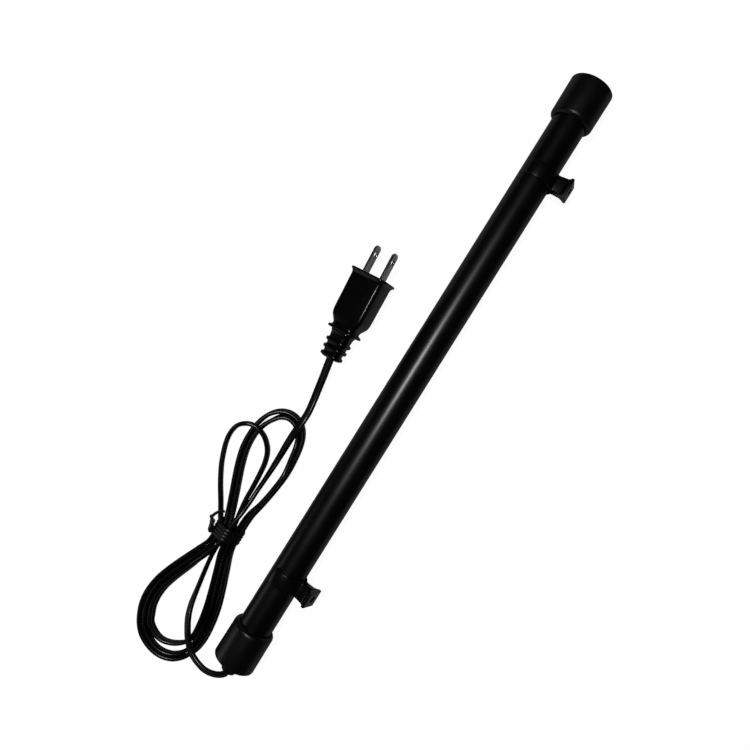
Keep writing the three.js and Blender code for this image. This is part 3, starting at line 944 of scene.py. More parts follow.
    def _plug_run(self) -> list[Stop]:
        """Lays the lead from the top of the tie to the plug's strain relief.

        Returns:
            Its stops.
        """
        return stops([
            (-131.5, 44.4, self.over + 0.5, 3), (-124.7, 43.3, 7.5, 4), (-116.5, 42.8, 5, 6),
            (-108.5, 42.7, 3.3, 6), (-101, 42.4, 2.7, 10), (-93.8, 42.2, 2.6, 20), (-83.7, 42.1, 2.6, 34),
            (-74, 42.1, 4.8, 46), (-66.5, 41.9, 7, 50), (-61.5, 41.6, 7.7, 50), (-57, 41.3, 7.7, 50),
            (-53.2, 41.2, 7.3, 50), (-50, 41.3, 6.6, 50), (-42.8, 42.3, 5.6, 54), (-33.8, 43.8, 6, 60),
            (-23.7, 45.4, 8, 64), (-16.2, 46.7, 9.5, 65), (-13.2, 47.15, 10, 65),
        ])

    def route(self) -> list[Stop]:
        """Joins the runs and turns in the lead's own order, with seven passes through the tie.

        Returns:
            The whole route, from the grommet to the plug's strain relief.
        """
        lower_outer, lower_middle, lower_inner = self._lower_turns()
        upper_outer, upper_inner = self._upper_turns()
        return [
            *self._cap_run(), *self._tie_stops(3, False),
            *upper_inner, *self._tie_stops(1, True),
            *lower_middle, *self._tie_stops(4, False),
            *upper_outer, *self._tie_stops(0, True),
            *lower_outer, *self._tie_stops(5, False),
            *self._small_turn(), *self._tie_stops(2, True),
            *lower_inner, *self._tie_stops(self.top_place, False, self.held + self.width),
            *self._plug_run(),
        ]

    def _section(self) -> list[Pair]:
        """Draws the lead's section: two round cores with a shallow valley between them.

        Returns:
            The outline as (along the width, along the thickness).
        """
        core = self.thickness / 2
        centre = self.width / 2 - core
        points = []
        for side in (1, -1):
            for i in range(9):
                a = math.radians(-90 + 22.5 * i)
                points.append((side * (centre + core * math.cos(a)), side * core * math.sin(a)))
            for i in range(1, 6):
                u = centre * (1 - i / 3)
                valley = self.groove * (0.5 + 0.5 * math.cos(math.pi * u / centre))
                points.append((side * u, side * (core - valley)))
        return points

    def build(self, plug_pieces: Sequence[bpy.types.Object]) -> bpy.types.Object:
        """Args:
            plug_pieces: The pieces that go with it; not used.

        Returns:
            The lead's piece.
        """
        section = self._section()
        base = Vector((0, self.axis.y, 0))
        points = [Vector((s.x, s.y, s.z, math.radians(s.roll))) for s in self.route()]
        samples = smooth_line(points, self.step)
        line = [base + s.to_3d() for s in samples]
        rings = []
        for i, (place, sample) in enumerate(zip(line, samples)):
            way = (line[min(i + 1, len(line) - 1)] - line[max(i - 1, 0)]).normalized()
            right = way.cross(Vector((0, 0, 1))).normalized()
            upright = right.cross(way).normalized()
            wide = upright * math.cos(sample[3]) + right * math.sin(sample[3])
            thin = wide.cross(way).normalized()
            rings.append([place + wide * u + thin * v for u, v in section])
        lead = ring_mesh("lead", rings, sharp_deg=60)
        self.dress(lead, CORD_PVC, Body.ROD, "cord_cap_run", "cord_hank", "cord_plug_run")
        return lead


@dataclass
class TwistTie(Assembly):
    """The flat wire tie: wound round the hank's waist, with its ends twisted together.

    Attributes:
        ribbon: Width of the flat ribbon.
        film: Its thickness.
        wire: Radius of the wire inside it.
        turns: Turns round the waist.
        pitch: Spacing of the turns along the waist.
        start_x: Where the first turn starts.
        start_share: Where it starts round the waist, as a share of one turn.
        waist_middle: The waist's middle, across from the rod's axis and up from the floor.
        twists: Turns of the twisted ends.
        twist_radius: Radius of the twist that the two ends make.
        tail_share: Width of the squeezed ribbon in the twist, as a share of the ribbon's.
    """

    ribbon: float = 2.3
    film: float = 0.3
    wire: float = 0.42
    turns: float = 4.1
    pitch: float = 2.1
    start_x: float = -143.0
    start_share: float = 0.24
    waist_middle: Pair = (44.5, 5.2)
    twists: float = 3.2
    twist_radius: float = 1.15
    tail_share: float = 0.8

    def _section(self, ribbon: float) -> list[Pair]:
        """Draws the ribbon's section, with the wire's ridge in its middle.

        Args:
            ribbon: The ribbon's width.

        Returns:
            The outline as (across, out).
        """
        half, film, wire = ribbon / 2, self.film / 2, self.wire
        top = [(half, 0.0), (half - 0.1, film), (wire * 1.7, film), (wire * 0.8, wire * 0.75)]
        top.append((0.0, wire))
        top += [(-u, v) for u, v in top[-2::-1]]
        return top + [(u, -v) for u, v in top[-2:0:-1]]

    def _sweep(
        self, name: str, line: Sequence[Vector], outs: Sequence[Vector], ribbon: float,
    ) -> bpy.types.Object:
        """Sweeps the ribbon along a line.

        Args:
            name: The piece's name.
            line: The ribbon's middle.
            outs: Which way its face looks at each sample.
            ribbon: The ribbon's width.

        Returns:
            The piece.
        """
        section = self._section(ribbon)
        rings = []
        for i, (place, out) in enumerate(zip(line, outs)):
            way = (line[min(i + 1, len(line) - 1)] - line[max(i - 1, 0)]).normalized()
            across = way.cross(out).normalized()
            face = across.cross(way).normalized()
            rings.append([place + across * u + face * v for u, v in section])
        return ring_mesh(name, rings, sharp_deg=50)

    @staticmethod
    def _waist() -> list[Vector]:
        """Draws one closed turn round the six runs and the one on top of them.

        Returns:
            The turn's samples at x = 0.
        """
        corners = [
            (44.4, 0.45), (50.6, 0.45), (52.8, 0.9), (53.6, 2.6), (53.5, 4.8), (52.2, 6.5), (48.9, 9.2),
            (46.6, 11.2), (44.6, 11.75), (42.4, 11.2), (40.2, 9.2), (37, 6.5), (35.6, 4.8), (35.4, 2.6),
            (36.2, 0.9), (38.4, 0.45),
        ]
        loop = [Vector((0, y, z)) for y, z in corners]
        return smooth_line([*loop, loop[0]], 0.5)

    def build(self) -> list[bpy.types.Object]:
        """Builds the band and the twisted tails.

        Returns:
            The two pieces.
        """
        base = Vector((0, self.axis.y, 0))
        waist = self._waist()[:-1]
        middle = Vector((0, *self.waist_middle))
        count = round(self.turns * len(waist))
        offset = round(self.start_share * len(waist))
        line, outs = [], []
        for i in range(count):
            place = waist[(i + offset) % len(waist)]
            x = self.start_x + self.pitch * i / len(waist)
            line.append(base + place + Vector((x, 0, 0)))
            outs.append((place - middle).normalized())
        band = self._sweep("tie_band", line, outs, self.ribbon)
        self.dress(band, TIE_RIBBON, Body.ROD, "twist_tie")
        tails = [self._tail(line[0] - base, phase, base) for phase in (0.0, math.pi)]
        knot = self._joined("tie_tails", tails)
        self.dress(knot, TIE_RIBBON, Body.ROD, "twist_tie_tails")
        return [band, knot]

    def _tail(self, start: Vector, phase: float, base: Vector) -> bpy.types.Object:
        """Builds one of the two ribbons of the twisted end.

        Args:
            start: Where the twist leaves the band.
            phase: Angle of this ribbon in the twist; the one past 0 ends in a loop of wire.
            base: Where the rod's axis line stands.

        Returns:
            A part of the tails piece.
        """
        along_twist = [
            (0.2, 53.0, 5.2), (-0.2, 54.3, 5.8), (1.6, 54.9, 6.2), (3.8, 55.5, 6.2), (6.0, 56.3, 6.0),
        ]
        core = smooth_line([Vector((start.x + x, y, z)) for x, y, z in along_twist], 0.22)
        looped = [Vector((-134.9, 57.5, 6.8)), Vector((-131.2, 56.2, 7.4)), Vector((-127.8, 52.6, 8.3))]
        short = [Vector((-136.4, 58.0, 5.2)), Vector((-135.2, 58.8, 4.4))]
        ends = looped if phase > 0 else short
        line, outs = [], []
        for i, place in enumerate(core):
            way = (core[min(i + 1, len(core) - 1)] - core[max(i - 1, 0)]).normalized()
            side = way.cross(Vector((0, 0, 1))).normalized()
            up = side.cross(way)
            angle = phase + 2 * math.pi * self.twists * i / len(core)
            out = side * math.cos(angle) + up * math.sin(angle)
            line.append(base + place + out * self.twist_radius)
            outs.append(out)
        free = smooth_line([line[-4], line[-1], *(base + end for end in ends)], 0.25)
        line = line[:-4] + free
        outs = outs[:-4] + [Vector((0, 0, 1))] * len(free)
        return self._sweep(f"tail_{phase:.0f}", line, outs, self.ribbon * self.tail_share)

    @staticmethod
    def _joined(name: str, parts: Sequence[bpy.types.Object]) -> bpy.types.Object:
        """Makes one piece of several parts.

        Args:
            name: The piece's name.
            parts: The parts, which are taken up by it.

        Returns:
            The piece.
        """
        bm = bmesh.new()
        for part in parts:
            bm.from_mesh(part.data)
            bpy.data.objects.remove(part)
        mesh = bpy.data.meshes.new(name)
        bm.to_mesh(mesh)
        bm.free()
        return finish_mesh(name, mesh, sharp_deg=50)


@dataclass
class Plug(Assembly):
    """The moulded two-blade plug at the lead's far end, along its own X with the blades forward.

    Attributes:
        face: Middle of the front face: along the rod, across from its axis, and up from the floor.
        yaw: Degrees from +X towards +Y.
        pitch: Degrees that its back sits lower.
        roll: Degrees that the side next to the rod is raised.
        length: The body's length.
        relief_length: Length of the strain relief behind the body.
        relief_size: Its width and height where it leaves the body.
        relief_narrows: What it loses of each on the way to its mouth.
        ribs: Number of its ribs.
        first_rib: Where the first rib starts behind the body.
        rib_spacing: Spacing of the ribs.
        rib_length: Length of a rib's crest.
        blade_pitch: Spacing of the blades.
        blade_width: A blade's width.
        blade_thickness: Its thickness.
        blade_out: How far it stands out of the front face.
        blade_in: How far it reaches into the body.
        blade_chamfer: Cut at its tip's corners.
        hole_radius: Radius of its hole.
        hole_from_face: Distance of the hole from the front face.
    """

    face: Place = (39.9, 50.4, 12.9)
    yaw: float = 3.6
    pitch: float = 3.2
    roll: float = 25.0
    length: float = 38.0
    relief_length: float = 17.0
    relief_size: Pair = (13.6, 10.2)
    relief_narrows: Pair = (2.4, 2.0)
    ribs: int = 3
    first_rib: float = 5.5
    rib_spacing: float = 4.5
    rib_length: float = 1.8
    blade_pitch: float = 12.7
    blade_width: float = 6.35
    blade_thickness: float = 1.5
    blade_out: float = 17.3
    blade_in: float = 9.0
    blade_chamfer: float = 1.6
    hole_radius: float = 1.6
    hole_from_face: float = 11.9

    def _matrix(self) -> Matrix:
        """Works out where the plug lies.

        Returns:
            Its place in the row frame, in metres.
        """
        x, y, z = self.face
        place = Matrix.Translation(Vector((x, y + self.axis.y, z)) * MM)
        turn = Matrix.Rotation(math.radians(self.yaw), 4, "Z")
        turn = turn @ Matrix.Rotation(math.radians(-self.pitch), 4, "Y")
        return place @ turn @ Matrix.Rotation(math.radians(-self.roll), 4, "X")

    def _loft(self, name: str, stations: Iterable[Station]) -> bpy.types.Object:
        """Builds a solid through rounded stations and sets it in place.

        Args:
            name: The piece's name.
            stations: Its stations as (x, width, height, corner radius).

        Returns:
            The piece.
        """
        piece = ring_mesh(name, [rounded_ring(*s) for s in stations], sharp_deg=42)
        piece.data.transform(self._matrix())
        return piece

    def _body(self) -> bpy.types.Object:
        """Builds the moulded body between its two thin flanges.

        Returns:
            The piece.
        """
        pocket = [(-2.8, 18.8, 11.4, 2.6), (-0.25, 18.8, 11.4, 2.6), (0, 19.3, 11.9, 2.8)]
        front_flange = [
            (0, 24.3, 17.5, 3.7), (-0.12, 24.9, 18.1, 3.9), (-0.4, 25.4, 18.6, 4.1),
            (-0.8, 25.6, 18.8, 4.2), (-1.2, 25.4, 18.6, 4.1), (-1.5, 24.8, 18.0, 3.9),
            (-1.9, 23.6, 16.9, 3.2), (-2.6, 22.6, 15.9, 2.5),
        ]
        barrel = [
            (-4, 21.9, 15.3, 2.0), (-8, 21.8, 15.2, 1.9), (-15, 21.6, 15.0, 1.9),
            (-22, 21.5, 14.9, 1.9), (-27, 21.4, 14.8, 2.0),
        ]
        shoulders = [
            (-29, 21.0, 14.6, 2.2), (-30.8, 19.9, 14.0, 2.5), (-32.4, 18.2, 13.1, 3.0),
            (-33.8, 16.9, 12.5, 3.6), (-34.9, 16.3, 12.2, 3.7),
        ]
        back_flange = [
            (-35.6, 16.5, 12.4, 3.8), (-36.0, 17.6, 13.1, 3.9), (-36.3, 19.0, 14.0, 4.0),
            (-36.7, 19.9, 14.6, 4.1), (-37.2, 20.2, 14.8, 4.1), (-37.6, 20.0, 14.6, 4.1),
            (-37.9, 19.4, 14.0, 3.9), (-self.length, 18.6, 13.2, 3.6),
        ]
        return self._loft("plug_shell", [*pocket, *front_flange, *barrel, *shoulders, *back_flange])

    def _carrier(self) -> bpy.types.Object:
        """Builds the blade carrier that sits in the front face's pocket.

        Returns:
            The piece.
        """
        return self._loft("plug_carrier", [
            (-2.5, 18.4, 11.0, 2.5), (-0.4, 18.4, 11.0, 2.5), (-0.1, 18.2, 10.8, 2.4),
            (0, 17.7, 10.3, 2.2),
        ])

    def _relief_station(self, behind: float, proud: float) -> Station:
        """Works out one station of the strain relief.

        Args:
            behind: Its distance behind the start of the relief.
            proud: How far it stands out of the plain taper.

        Returns:
            The station.
        """
        share = behind / self.relief_length
        width = self.relief_size[0] - self.relief_narrows[0] * share + 2 * proud
        height = self.relief_size[1] - self.relief_narrows[1] * share + 2 * proud
        return -self.length - 0.3 - behind, width, height, 3.2 + 0.5 * proud

    def _relief(self) -> bpy.types.Object:
        """Builds the strain relief: a taper with ribs and an open mouth for the lead.

        Returns:
            The piece.
        """
        whole, crest = self.relief_length, self.rib_length
        rib = [
            (-0.7, 0), (-0.3, 0.35), (0, 0.95), (0.3, 1.15), (0.9, 1.2), (1.5, 1.15), (crest, 0.95),
            (crest + 0.3, 0.35), (crest + 0.7, 0),
        ]
        stations = [(-self.length + 1.5, *self.relief_size, 3.2)]
        collar = ((0, 0.5), (0.6, 0.45), (1.2, 0.1), (3.4, 0))
        stations += [self._relief_station(d, proud) for d, proud in collar]
        for k in range(self.ribs):
            start = self.first_rib + k * self.rib_spacing
            for d, proud in rib:
                if start + d < whole - 0.4:
                    stations.append(self._relief_station(start + d, proud))
        stations += [self._relief_station(whole - 0.2, -0.05), self._relief_station(whole, -0.4)]
        mouth = stations[-1][0]
        stations += [(mouth, 6.2, 3.8, 1.85), (mouth + 0.3, 5.7, 3.3, 1.6), (mouth + 1.8, 5.6, 3.2, 1.55)]
        return self._loft("plug_relief", stations)

    def _blade(self, name: str, side: int) -> bpy.types.Object:
        """Builds a blade with a chamfered tip and its round hole.

        Args:
            name: The piece's name.
            side: 1 for the left blade and -1 for the right.

        Returns:
            The piece.
        """
        half, tip, root, chamfer = self.blade_width / 2, self.blade_out, -self.blade_in, self.blade_chamfer
        edge = [
            (root, -half), (tip - chamfer, -half), (tip - 0.2, -half + chamfer - 0.2),
            (tip, -half + chamfer + 0.3),
        ]
        outline = [*edge, *((x, -y) for x, y in reversed(edge))]
        hole = arc(self.hole_from_face, 0, self.hole_radius, 360, 0, 40)[:-1]
        mesh = plate(name, [outline, hole], self.blade_thickness, bevel=0.28)
        beside = Matrix.Translation((0, side * self.blade_pitch / 2 * MM, 0))
        on_edge = Matrix.Rotation(math.pi / 2, 4, "X")
        mesh.transform(self._matrix() @ (beside @ on_edge))
        return finish_mesh(name, mesh, sharp_deg=40)

    def build(self) -> list[bpy.types.Object]:
        """Builds the plug.

        Returns:
            Its pieces.
        """
        pieces = [
            self.dress(self._body(), PLUG_PVC, Body.ROD, "plug_body"),
            self.dress(self._carrier(), PLUG_PVC, Body.ROD, "plug_insert"),
            self.dress(self._relief(), PLUG_PVC, Body.ROD, "plug_strain_relief"),
        ]
        for name, side in (("blade_left", 1), ("blade_right", -1)):
            pieces.append(self.dress(self._blade(name, side), BLADE_METAL, Body.ROD, f"plug_{name}"))
        return pieces


@dataclass
class Tube(Assembly):
    """The round metal tube.

    Attributes:
        wall: Its wall.
        lip: Radius of its rounded rims.
        rows: Stretches along it.
        sides: Sides of its round.
    """

    wall: float = 1.2
    lip: float = 0.25
    rows: int = 40
    sides: int = 160

    def build(self) -> bpy.types.Object:
        """Builds the tube round the CAD node's own length and radius.

        Returns:
            The piece.
        """
        low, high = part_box("tube")
        end = high.x / MM
        outer = (high.z - low.z) / 2 / MM
        inner = outer - self.wall
        rim = self.lip
        near = end - rim
        half = [*fillet(near, inner + rim, rim, 270, 360, 4), *fillet(near, outer - rim, rim, 0, 90, 4)]
        along = [(near - (2 * end - 2 * rim) * i / self.rows, outer) for i in range(1, self.rows)]
        other = [(-x, r) for x, r in reversed(half)]
        tube = turned("tube_shell", [*half, *along, *other], self.axis, self.sides)
        return self.dress(tube, ENAMEL, Body.ROD, "tube")


@dataclass
class EndCaps(Assembly):
    """The two moulded caps and the grommet in the cord-end one.

    Attributes:
        length: A cap's length.
        rim: Radius of the fillet at the end face.
        shoulder: Radius of the fillet at the mouth.
        floor: Thickness of the end wall.
        bore: Radius of the bore.
        mouth_radius: Radius at the mouth.
        dish: Depth of the end face's shallow dish.
        dish_radius: Its radius.
        gate: Radius of the moulding mark in its middle.
        grommet_hole: Radius of the hole for the grommet.
        grommet_roll: Degrees that the grommet's flat mouth is rolled about the axis.
        sides: Sides of a cap's round.
    """

    length: float = 25.0
    rim: float = 0.7
    shoulder: float = 2.7
    floor: float = 3.0
    bore: float = 10.8
    mouth_radius: float = 13.1
    dish: float = 0.35
    dish_radius: float = 10.4
    gate: float = 1.3
    grommet_hole: float = 4.7
    grommet_roll: float = -40.0
    sides: int = 144

    def _profile(self, hole: float) -> list[Pair]:
        """Draws the +X cap's outline.

        Args:
            hole: Radius of the hole in the end wall, or 0.

        Returns:
            The closed outline.
        """
        low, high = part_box("cap_plain_end")
        end = high.x / MM
        outer = (high.z - low.z) / 2 / MM
        mouth = end - self.length
        dished = end - self.dish
        face = [(dished, hole)]
        if hole == 0:
            face = [(dished + 0.15, 0.0), (dished + 0.15, self.gate - 0.3), (dished, self.gate + 0.1)]
        face += [
            (dished, self.dish_radius - 0.5), (dished + 0.1, self.dish_radius - 0.15),
            (end - 0.08, self.dish_radius + 0.15), (end, self.dish_radius + 0.5),
        ]
        rim = fillet(end - self.rim, outer - self.rim, self.rim, 0, 90)
        round_centre = self.mouth_radius - self.shoulder
        shoulder = fillet(mouth + self.shoulder, round_centre, self.shoulder, 90, 172, 12)
        lip = 0.35
        inside = [
            (mouth, self.bore + lip * 1.6), (mouth + lip * 0.6, self.bore + lip * 0.5),
            (mouth + lip * 2, self.bore), (end - self.floor, self.bore), (end - self.floor, hole),
        ]
        return [*face, *rim, *shoulder, *inside]

    def build(self) -> None:
        """Builds both caps and the grommet."""
        plain = turned("cap_far", self._profile(0.0), self.axis, self.sides)
        self.dress(plain, CAP_PLASTIC, Body.ROD, "cap_plain_end")
        mirrored = [(-x, r) for x, r in self._profile(self.grommet_hole)]
        near = turned("cap_near", mirrored, self.axis, self.sides)
        self.dress(near, CAP_PLASTIC, Body.ROD, "cap_cord_end")
        self._grommet()

    def _grommet(self) -> None:
        """Builds the grommet: round outside, with two ribs and a flat mouth that fits the lead."""
        tip, tail = (corner.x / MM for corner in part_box("cord_grommet"))
        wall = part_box("cap_cord_end")[0].x / MM
        inside = wall + self.floor
        rolled = Matrix.Rotation(math.radians(self.grommet_roll), 3, "X")

        def ring(x: float, radius: float) -> list[Vector]:
            """A round station."""
            return flat(x, 2 * radius, 2 * radius)

        def flat(x: float, width: float, height: float) -> list[Vector]:
            """A flat station that follows the lead's outline."""
            return [self.axis + rolled @ p for p in rounded_ring(x, width, height, height / 2 - 0.01, 11)]

        rings = [flat(tip + 3, 5.5, 3.1), flat(tip + 0.4, 5.6, 3.2), flat(tip, 6.2, 3.8)]
        rings += [ring(tip, 4.2), ring(tip + 0.15, 4.55), ring(tip + 0.5, 4.75)]
        groove = ((0, 4.85), (0.15, 4.45), (0.75, 4.45), (0.9, 4.9))
        for k in range(2):
            start, grows = tip + 1.2 + 1.7 * k, 0.3 * k
            rings += [ring(start + x, radius + grows) for x, radius in groove]
        flange = (
            (-2.2, 5.6), (-1.9, 6.1), (-1.6, 6.35), (-1.2, 6.4), (-0.5, 6.4), (-0.05, 6.2), (-0.05, 4.4),
        )
        rings += [ring(wall + x, radius) for x, radius in flange]
        nut = ((0.3, 4.4), (0.3, 6.6), (2.2, 6.6), (2.6, 4.5))
        rings += [ring(inside + x, radius) for x, radius in nut]
        rings.append(ring(tail, 3.6))
        grommet = ring_mesh("grommet", rings, sharp_deg=40)
        self.dress(grommet, CORD_PVC, Body.ROD, "cord_grommet")


@dataclass
class FootClip(Assembly):
    """A push-fit C clip with a neck, a foot plate and a countersunk screw hole.

    Attributes:
        node: The CAD node that it stands for.
        body: The body that it is.
        tilt: Degrees that the foot stands above level.
        bore: Radius inside the grip.
        wall: The grip's wall.
        wrap: Degrees that the grip reaches round each side, from the foot's way.
        neck_half: Half the neck's thickness.
        foot_face: Distance of the foot's far face from the axis.
        foot_thickness: The foot plate's thickness.
        foot_half: Half the foot plate's height.
        foot_corner: Radius of its corners.
        hole_radius: Radius of the screw hole.
        head_radius: Radius of the hole for the screw's head.
        root: Radius of the fillets at both ends of the neck.
        width: The clip's width along the rod.
        flare: Share by which it is wider at the foot.
        flare_start: Distance from the axis where the widening starts.
        flare_length: How far it takes.
        bevel: Radius of its rounded edges.
    """

    node: str
    body: Body
    tilt: float
    bore: float = 10.8
    wall: float = 1.2
    wrap: float = 110.0
    neck_half: float = 3.5
    foot_face: float = 21.5
    foot_thickness: float = 2.0
    foot_half: float = 6.25
    foot_corner: float = 0.6
    hole_radius: float = 1.8
    head_radius: float = 3.2
    root: float = 2.4
    width: float = 9.5
    flare: float = 0.12
    flare_start: float = 13.0
    flare_length: float = 6.0
    bevel: float = 0.45

    def _outline(self) -> list[Pair]:
        """Draws the clip's section, with the foot along +X.

        Returns:
            The closed outline.
        """
        inner, outer = self.bore, self.bore + self.wall
        middle, lip = (inner + outer) / 2, self.wall / 2
        root_angle = math.degrees(math.asin((self.neck_half + self.root) / (outer + self.root)))
        root_x = (outer + self.root) * math.cos(math.radians(root_angle))
        back = self.foot_face - self.foot_thickness
        corner = self.foot_corner
        high = self.neck_half + self.root
        upper = [
            *arc(0, 0, outer, self.wrap, root_angle, 40),
            *arc(root_x, high, self.root, 180 + root_angle, 270, 8)[1:],
            *arc(back - self.root, high, self.root, 270, 360, 8),
            *arc(back + corner, self.foot_half - corner, corner, 180, 90, 4),
            *arc(self.foot_face - corner, self.foot_half - corner, corner, 90, 0, 4),
        ]
        lower = [(x, -y) for x, y in reversed(upper)]
        tip_x = middle * math.cos(math.radians(self.wrap))
        tip_y = middle * math.sin(math.radians(self.wrap))
        first_tip = arc(tip_x, -tip_y, lip, -self.wrap, -self.wrap - 180, 8)[1:-1]
        last_tip = arc(tip_x, tip_y, lip, self.wrap + 180, self.wrap, 8)[1:-1]
        return [*upper, *lower, *first_tip, *arc(0, 0, inner, -self.wrap, self.wrap, 80), *last_tip]

    def _drill(self) -> bpy.types.Object:
        """Builds the tool that cuts the screw hole, its countersink and the way in for the screw.

        Returns:
            The tool.
        """
        start, past = self.bore - 1.8, self.foot_face + 2
        rim = self.hole_radius + 0.4
        profile = [
            (start, 0.0), (start, self.head_radius), (self.bore + 0.4, self.head_radius),
            (self.bore + 1.8, self.hole_radius), (self.foot_face - 0.35, self.hole_radius),
            (self.foot_face + 0.05, rim), (past, rim), (past, 0.0),
        ]
        return turned(f"{self.node}_drill", profile, Vector((0, 0, 0)), 48)

    def _drilled(self) -> bpy.types.Mesh:
        """Cuts the clip's plate with the drill.

        Returns:
            The clip's mesh, with its width along Z.
        """
        mesh = plate(f"{self.node}_plate", [self._outline()], self.width, self.bevel)
        solid = finish_mesh(f"{self.node}_blank", mesh, sharp_deg=40)
        drill = self._drill()
        cut = solid.modifiers.new("drill", "BOOLEAN")
        cut.operation, cut.solver, cut.object = "DIFFERENCE", "EXACT", drill
        graph = bpy.context.evaluated_depsgraph_get()
        drilled = bpy.data.meshes.new_from_object(solid.evaluated_get(graph))
        for used in (solid, drill):
            bpy.data.objects.remove(used)
        return drilled

    def build(self) -> bpy.types.Object:
        """Builds the clip, widens it towards the foot and sets it on the tube.

        Returns:
            The piece.
        """
        low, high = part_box(self.node)
        middle = (low.x + high.x) / 2 / MM
        drilled = self._drilled()
        for vertex in drilled.vertices:
            reach = min(1.0, max(0.0, (vertex.co.x / MM - self.flare_start) / self.flare_length))
            vertex.co.z *= 1 + self.flare * reach * reach
        tilt = math.radians(self.tilt)
        foot = Vector((0, -math.cos(tilt), math.sin(tilt)))
        along = Vector((1, 0, 0))
        across = along.cross(foot)
        turn = Matrix((foot, across, along)).transposed().to_4x4()
        place = Vector((middle, self.axis.y, self.axis.z)) * MM
        drilled.transform(Matrix.Translation(place) @ turn)
        clip = finish_mesh(self.node.replace("clip_", "foot_clip_"), drilled, sharp_deg=38)
        return self.dress(clip, CLIP_PLASTIC, self.body, self.node)


@dataclass
class Insides(Assembly):
    """The heating element and wiring, which keep their CAD shape and get their finishes here.

    Attributes:
        finishes: The finish of each node.
    """

    finishes: dict[str, Finish] = field(default_factory=lambda: {
        "seal_plain_end": SILICONE, "seal_cord_end": SILICONE, "spacer_cord_side": SILICONE,
        "spacer_middle": SILICONE, "spacer_plain_side": SILICONE, "heater_core": CERAMIC,
        "heater_winding": RESISTANCE, "insulating_sleeve": GLASS_SLEEVE, "ferrule_near": COPPER,
        "ferrule_far": COPPER, "crimp_live": COPPER, "crimp_neutral": COPPER, "fuse_tail_in": COPPER,
        "fuse_tail_out": COPPER, "thermal_fuse": FUSE_CASE, "shrink_sleeve_live": SHRINK,
        "shrink_sleeve_neutral": SHRINK, "lead_live": WIRE_RED, "lead_neutral": WIRE_WHITE,
        "return_wire": WIRE_WHITE,
    })

    def build(self, nodes: dict[str, bpy.types.Object]) -> None:
        """Dresses the nodes.

        Args:
            nodes: The frame's CAD nodes by name.
        """
        for name, finish in self.finishes.items():
            node = nodes[name]
            node.data.materials.clear()
            node.data.materials.append(finish.material())
            LOG.info("%s keeps its CAD shape", name)


@dataclass(frozen=True)
class Softbox:
    """A rectangular lamp, with lengths in metres.

    Attributes:
        name: Its name.
        place: Where it hangs.
        target: What it looks at.
        size: Its length and width.
        power: Its power in watts.
    """

    name: str
    place: Place
    target: Place
    size: Pair
    power: float


KEY = Softbox("key", (0.018, 0.25, 0.913), (0.0, 0.0, 0.0), (0.12, 0.12), 3.0)
CARD = Softbox("card", (-0.55, 0.55, 0.10), (-0.10, 0.03, 0.02), (0.5, 0.16), 0.22)


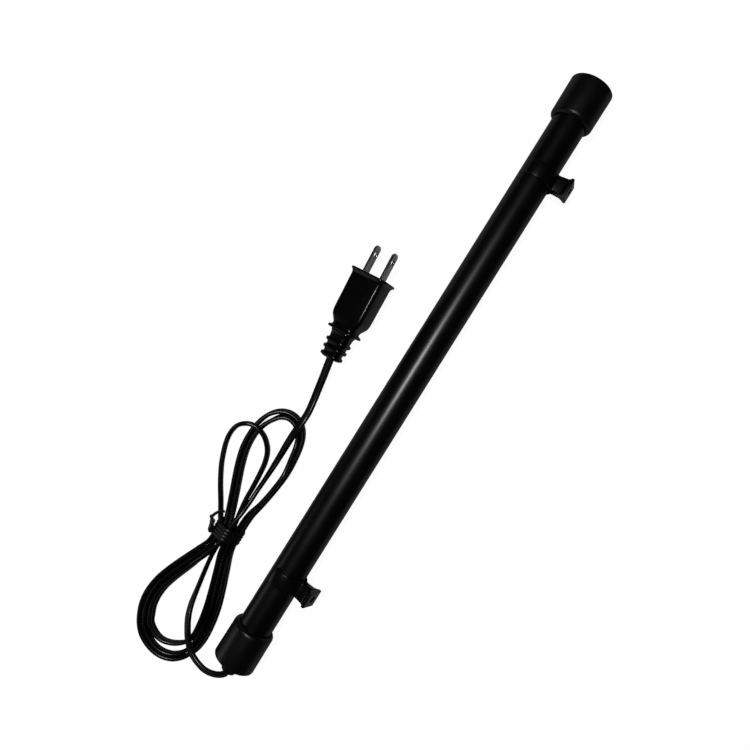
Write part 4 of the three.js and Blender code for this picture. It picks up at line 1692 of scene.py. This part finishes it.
@dataclass
class Studio:
    """The camera, the pale floor and the soft light. Lengths are in metres.

    Attributes:
        place: The camera's place.
        up: The camera's up direction.
        back: The direction from what it looks at to the camera.
        lens: Focal length in millimetres.
        sensor: The sensor's width in millimetres.
        floor_half: Half the floor's side.
        floor_lit: How much lamplight the floor shows the camera, which lets shadows be seen.
        floor_glow: How bright the floor is to the camera without any lamp.
        floor_unseen: The floor's tone in reflections and in light that it throws back.
        dim: Brightness of the surround that the pieces see.
    """

    place: Place = (0.00079, 0.02344, 0.3805)
    up: Place = (0.84842, 0.52881, -0.02322)
    back: Place = (0.02738, -0.00004, 0.99963)
    lens: float = 29.71
    sensor: float = 36.0
    floor_half: float = 3.0
    floor_lit: float = 0.15
    floor_glow: float = 0.96
    floor_unseen: float = 0.46
    dim: float = 0.012

    def camera(self) -> None:
        """Sets the camera nearly straight above the rod."""
        data = bpy.data.cameras.new("camera")
        data.lens, data.sensor_width = self.lens, self.sensor
        data.clip_start, data.clip_end = 0.01, 20.0
        data.dof.use_dof = False
        camera = bpy.data.objects.new("camera", data)
        back, up = Vector(self.back).normalized(), Vector(self.up).normalized()
        right = up.cross(back).normalized()
        turn = Matrix((right, back.cross(right), back)).transposed().to_4x4()
        camera.matrix_world = Matrix.Translation(Vector(self.place)) @ turn
        bpy.context.scene.collection.objects.link(camera)
        bpy.context.scene.camera = camera

    def floor(self) -> None:
        """Lays the pale floor, which stays dim in reflections."""
        bm = bmesh.new()
        bmesh.ops.create_grid(bm, x_segments=8, y_segments=8, size=self.floor_half)
        mesh = bpy.data.meshes.new("floor")
        bm.to_mesh(mesh)
        bm.free()
        floor = bpy.data.objects.new("floor", mesh)
        bpy.context.scene.collection.objects.link(floor)
        mesh.materials.append(self._floor_finish())

    def _floor_finish(self) -> bpy.types.Material:
        """Builds the floor's material: one tone for the camera and a darker one for everything else.

        Returns:
            The material.
        """
        made = bpy.data.materials.new("pale_floor")
        made.use_nodes = True
        shader = Shader(made.node_tree)
        made.node_tree.nodes.clear()
        lit = shader.node("ShaderNodeBsdfDiffuse")
        lit.inputs["Color"].default_value = (*[self.floor_lit] * 3, 1)
        glow = shader.node("ShaderNodeEmission")
        glow.inputs["Strength"].default_value = self.floor_glow
        seen = shader.node("ShaderNodeAddShader")
        shader.feed(seen.inputs[0], lit.outputs[0])
        shader.feed(seen.inputs[1], glow.outputs[0])
        unseen = shader.node("ShaderNodeBsdfDiffuse")
        unseen.inputs["Color"].default_value = (*[self.floor_unseen] * 3, 1)
        picked = self._by_camera(shader, unseen.outputs[0], seen.outputs[0])
        shader.feed(shader.node("ShaderNodeOutputMaterial").inputs[0], picked)
        return made

    @staticmethod
    def _by_camera(shader: Shader, others: Output, camera: Output) -> Output:
        """Picks one shader for what the camera sees and another for all other rays.

        Args:
            shader: The tree.
            others: The shader for other rays.
            camera: The shader for the camera's own rays.

        Returns:
            The picked shader.
        """
        pick = shader.node("ShaderNodeMixShader")
        shader.feed(pick.inputs[0], shader.node("ShaderNodeLightPath").outputs["Is Camera Ray"])
        shader.feed(pick.inputs[1], others)
        shader.feed(pick.inputs[2], camera)
        return pick.outputs[0]

    def lamp(self, box: Softbox) -> None:
        """Hangs a softbox.

        Args:
            box: The softbox.
        """
        data = bpy.data.lights.new(box.name, "AREA")
        data.shape, data.energy = "RECTANGLE", box.power
        data.size, data.size_y = box.size
        lamp = bpy.data.objects.new(box.name, data)
        back = (Vector(box.place) - Vector(box.target)).normalized()
        along = Vector((1, 0, 0))
        side = back.cross(along).normalized()
        turn = Matrix((side.cross(back), side, back)).transposed().to_4x4()
        lamp.matrix_world = Matrix.Translation(Vector(box.place)) @ turn
        bpy.context.scene.collection.objects.link(lamp)

    def surround(self) -> None:
        """Sets a dim surround that the camera itself sees as pale as the floor."""
        world = bpy.data.worlds.new("studio")
        bpy.context.scene.world = world
        world.use_nodes = True
        world.node_tree.nodes.clear()
        shader = Shader(world.node_tree)
        dim = shader.node("ShaderNodeBackground")
        dim.inputs["Color"].default_value = (0.9, 0.95, 1.0, 1)
        dim.inputs["Strength"].default_value = self.dim
        pale = shader.node("ShaderNodeBackground")
        pale.inputs["Color"].default_value = (1, 1, 1, 1)
        picked = self._by_camera(shader, dim.outputs[0], pale.outputs[0])
        shader.feed(shader.node("ShaderNodeOutputWorld").inputs[0], picked)

    def build(self) -> None:
        """Sets the whole studio."""
        self.floor()
        for box in (KEY, CARD):
            self.lamp(box)
        self.surround()
        bpy.context.scene.view_settings.view_transform = "Standard"
        LOG.info("studio is set")


def rod_axis() -> Vector:
    """A point on the rod's axis in millimetres, from the tube's own box."""
    low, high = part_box("tube")
    return Vector((0.0, (low.y + high.y) / 2 / MM, (low.z + high.z) / 2 / MM))


def main() -> None:
    """Builds every piece round the loaded frame."""
    logging.basicConfig(level=logging.INFO, format="%(message)s")
    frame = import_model()
    axis = rod_axis()
    studio = Studio()
    studio.camera()
    plug_pieces = Plug(axis).build()
    tie_pieces = TwistTie(axis).build()
    Lead(axis).build([*plug_pieces, *tie_pieces])
    Tube(axis).build()
    EndCaps(axis).build()
    for body, tilt in ((Body.CLIP_PLAIN, 17.0), (Body.CLIP_CORD, 25.0)):
        FootClip(axis, body.value, body, tilt).build()
    Insides(axis).build(frame["nodes"])
    studio.build()


if __name__ == "__main__":
    main()
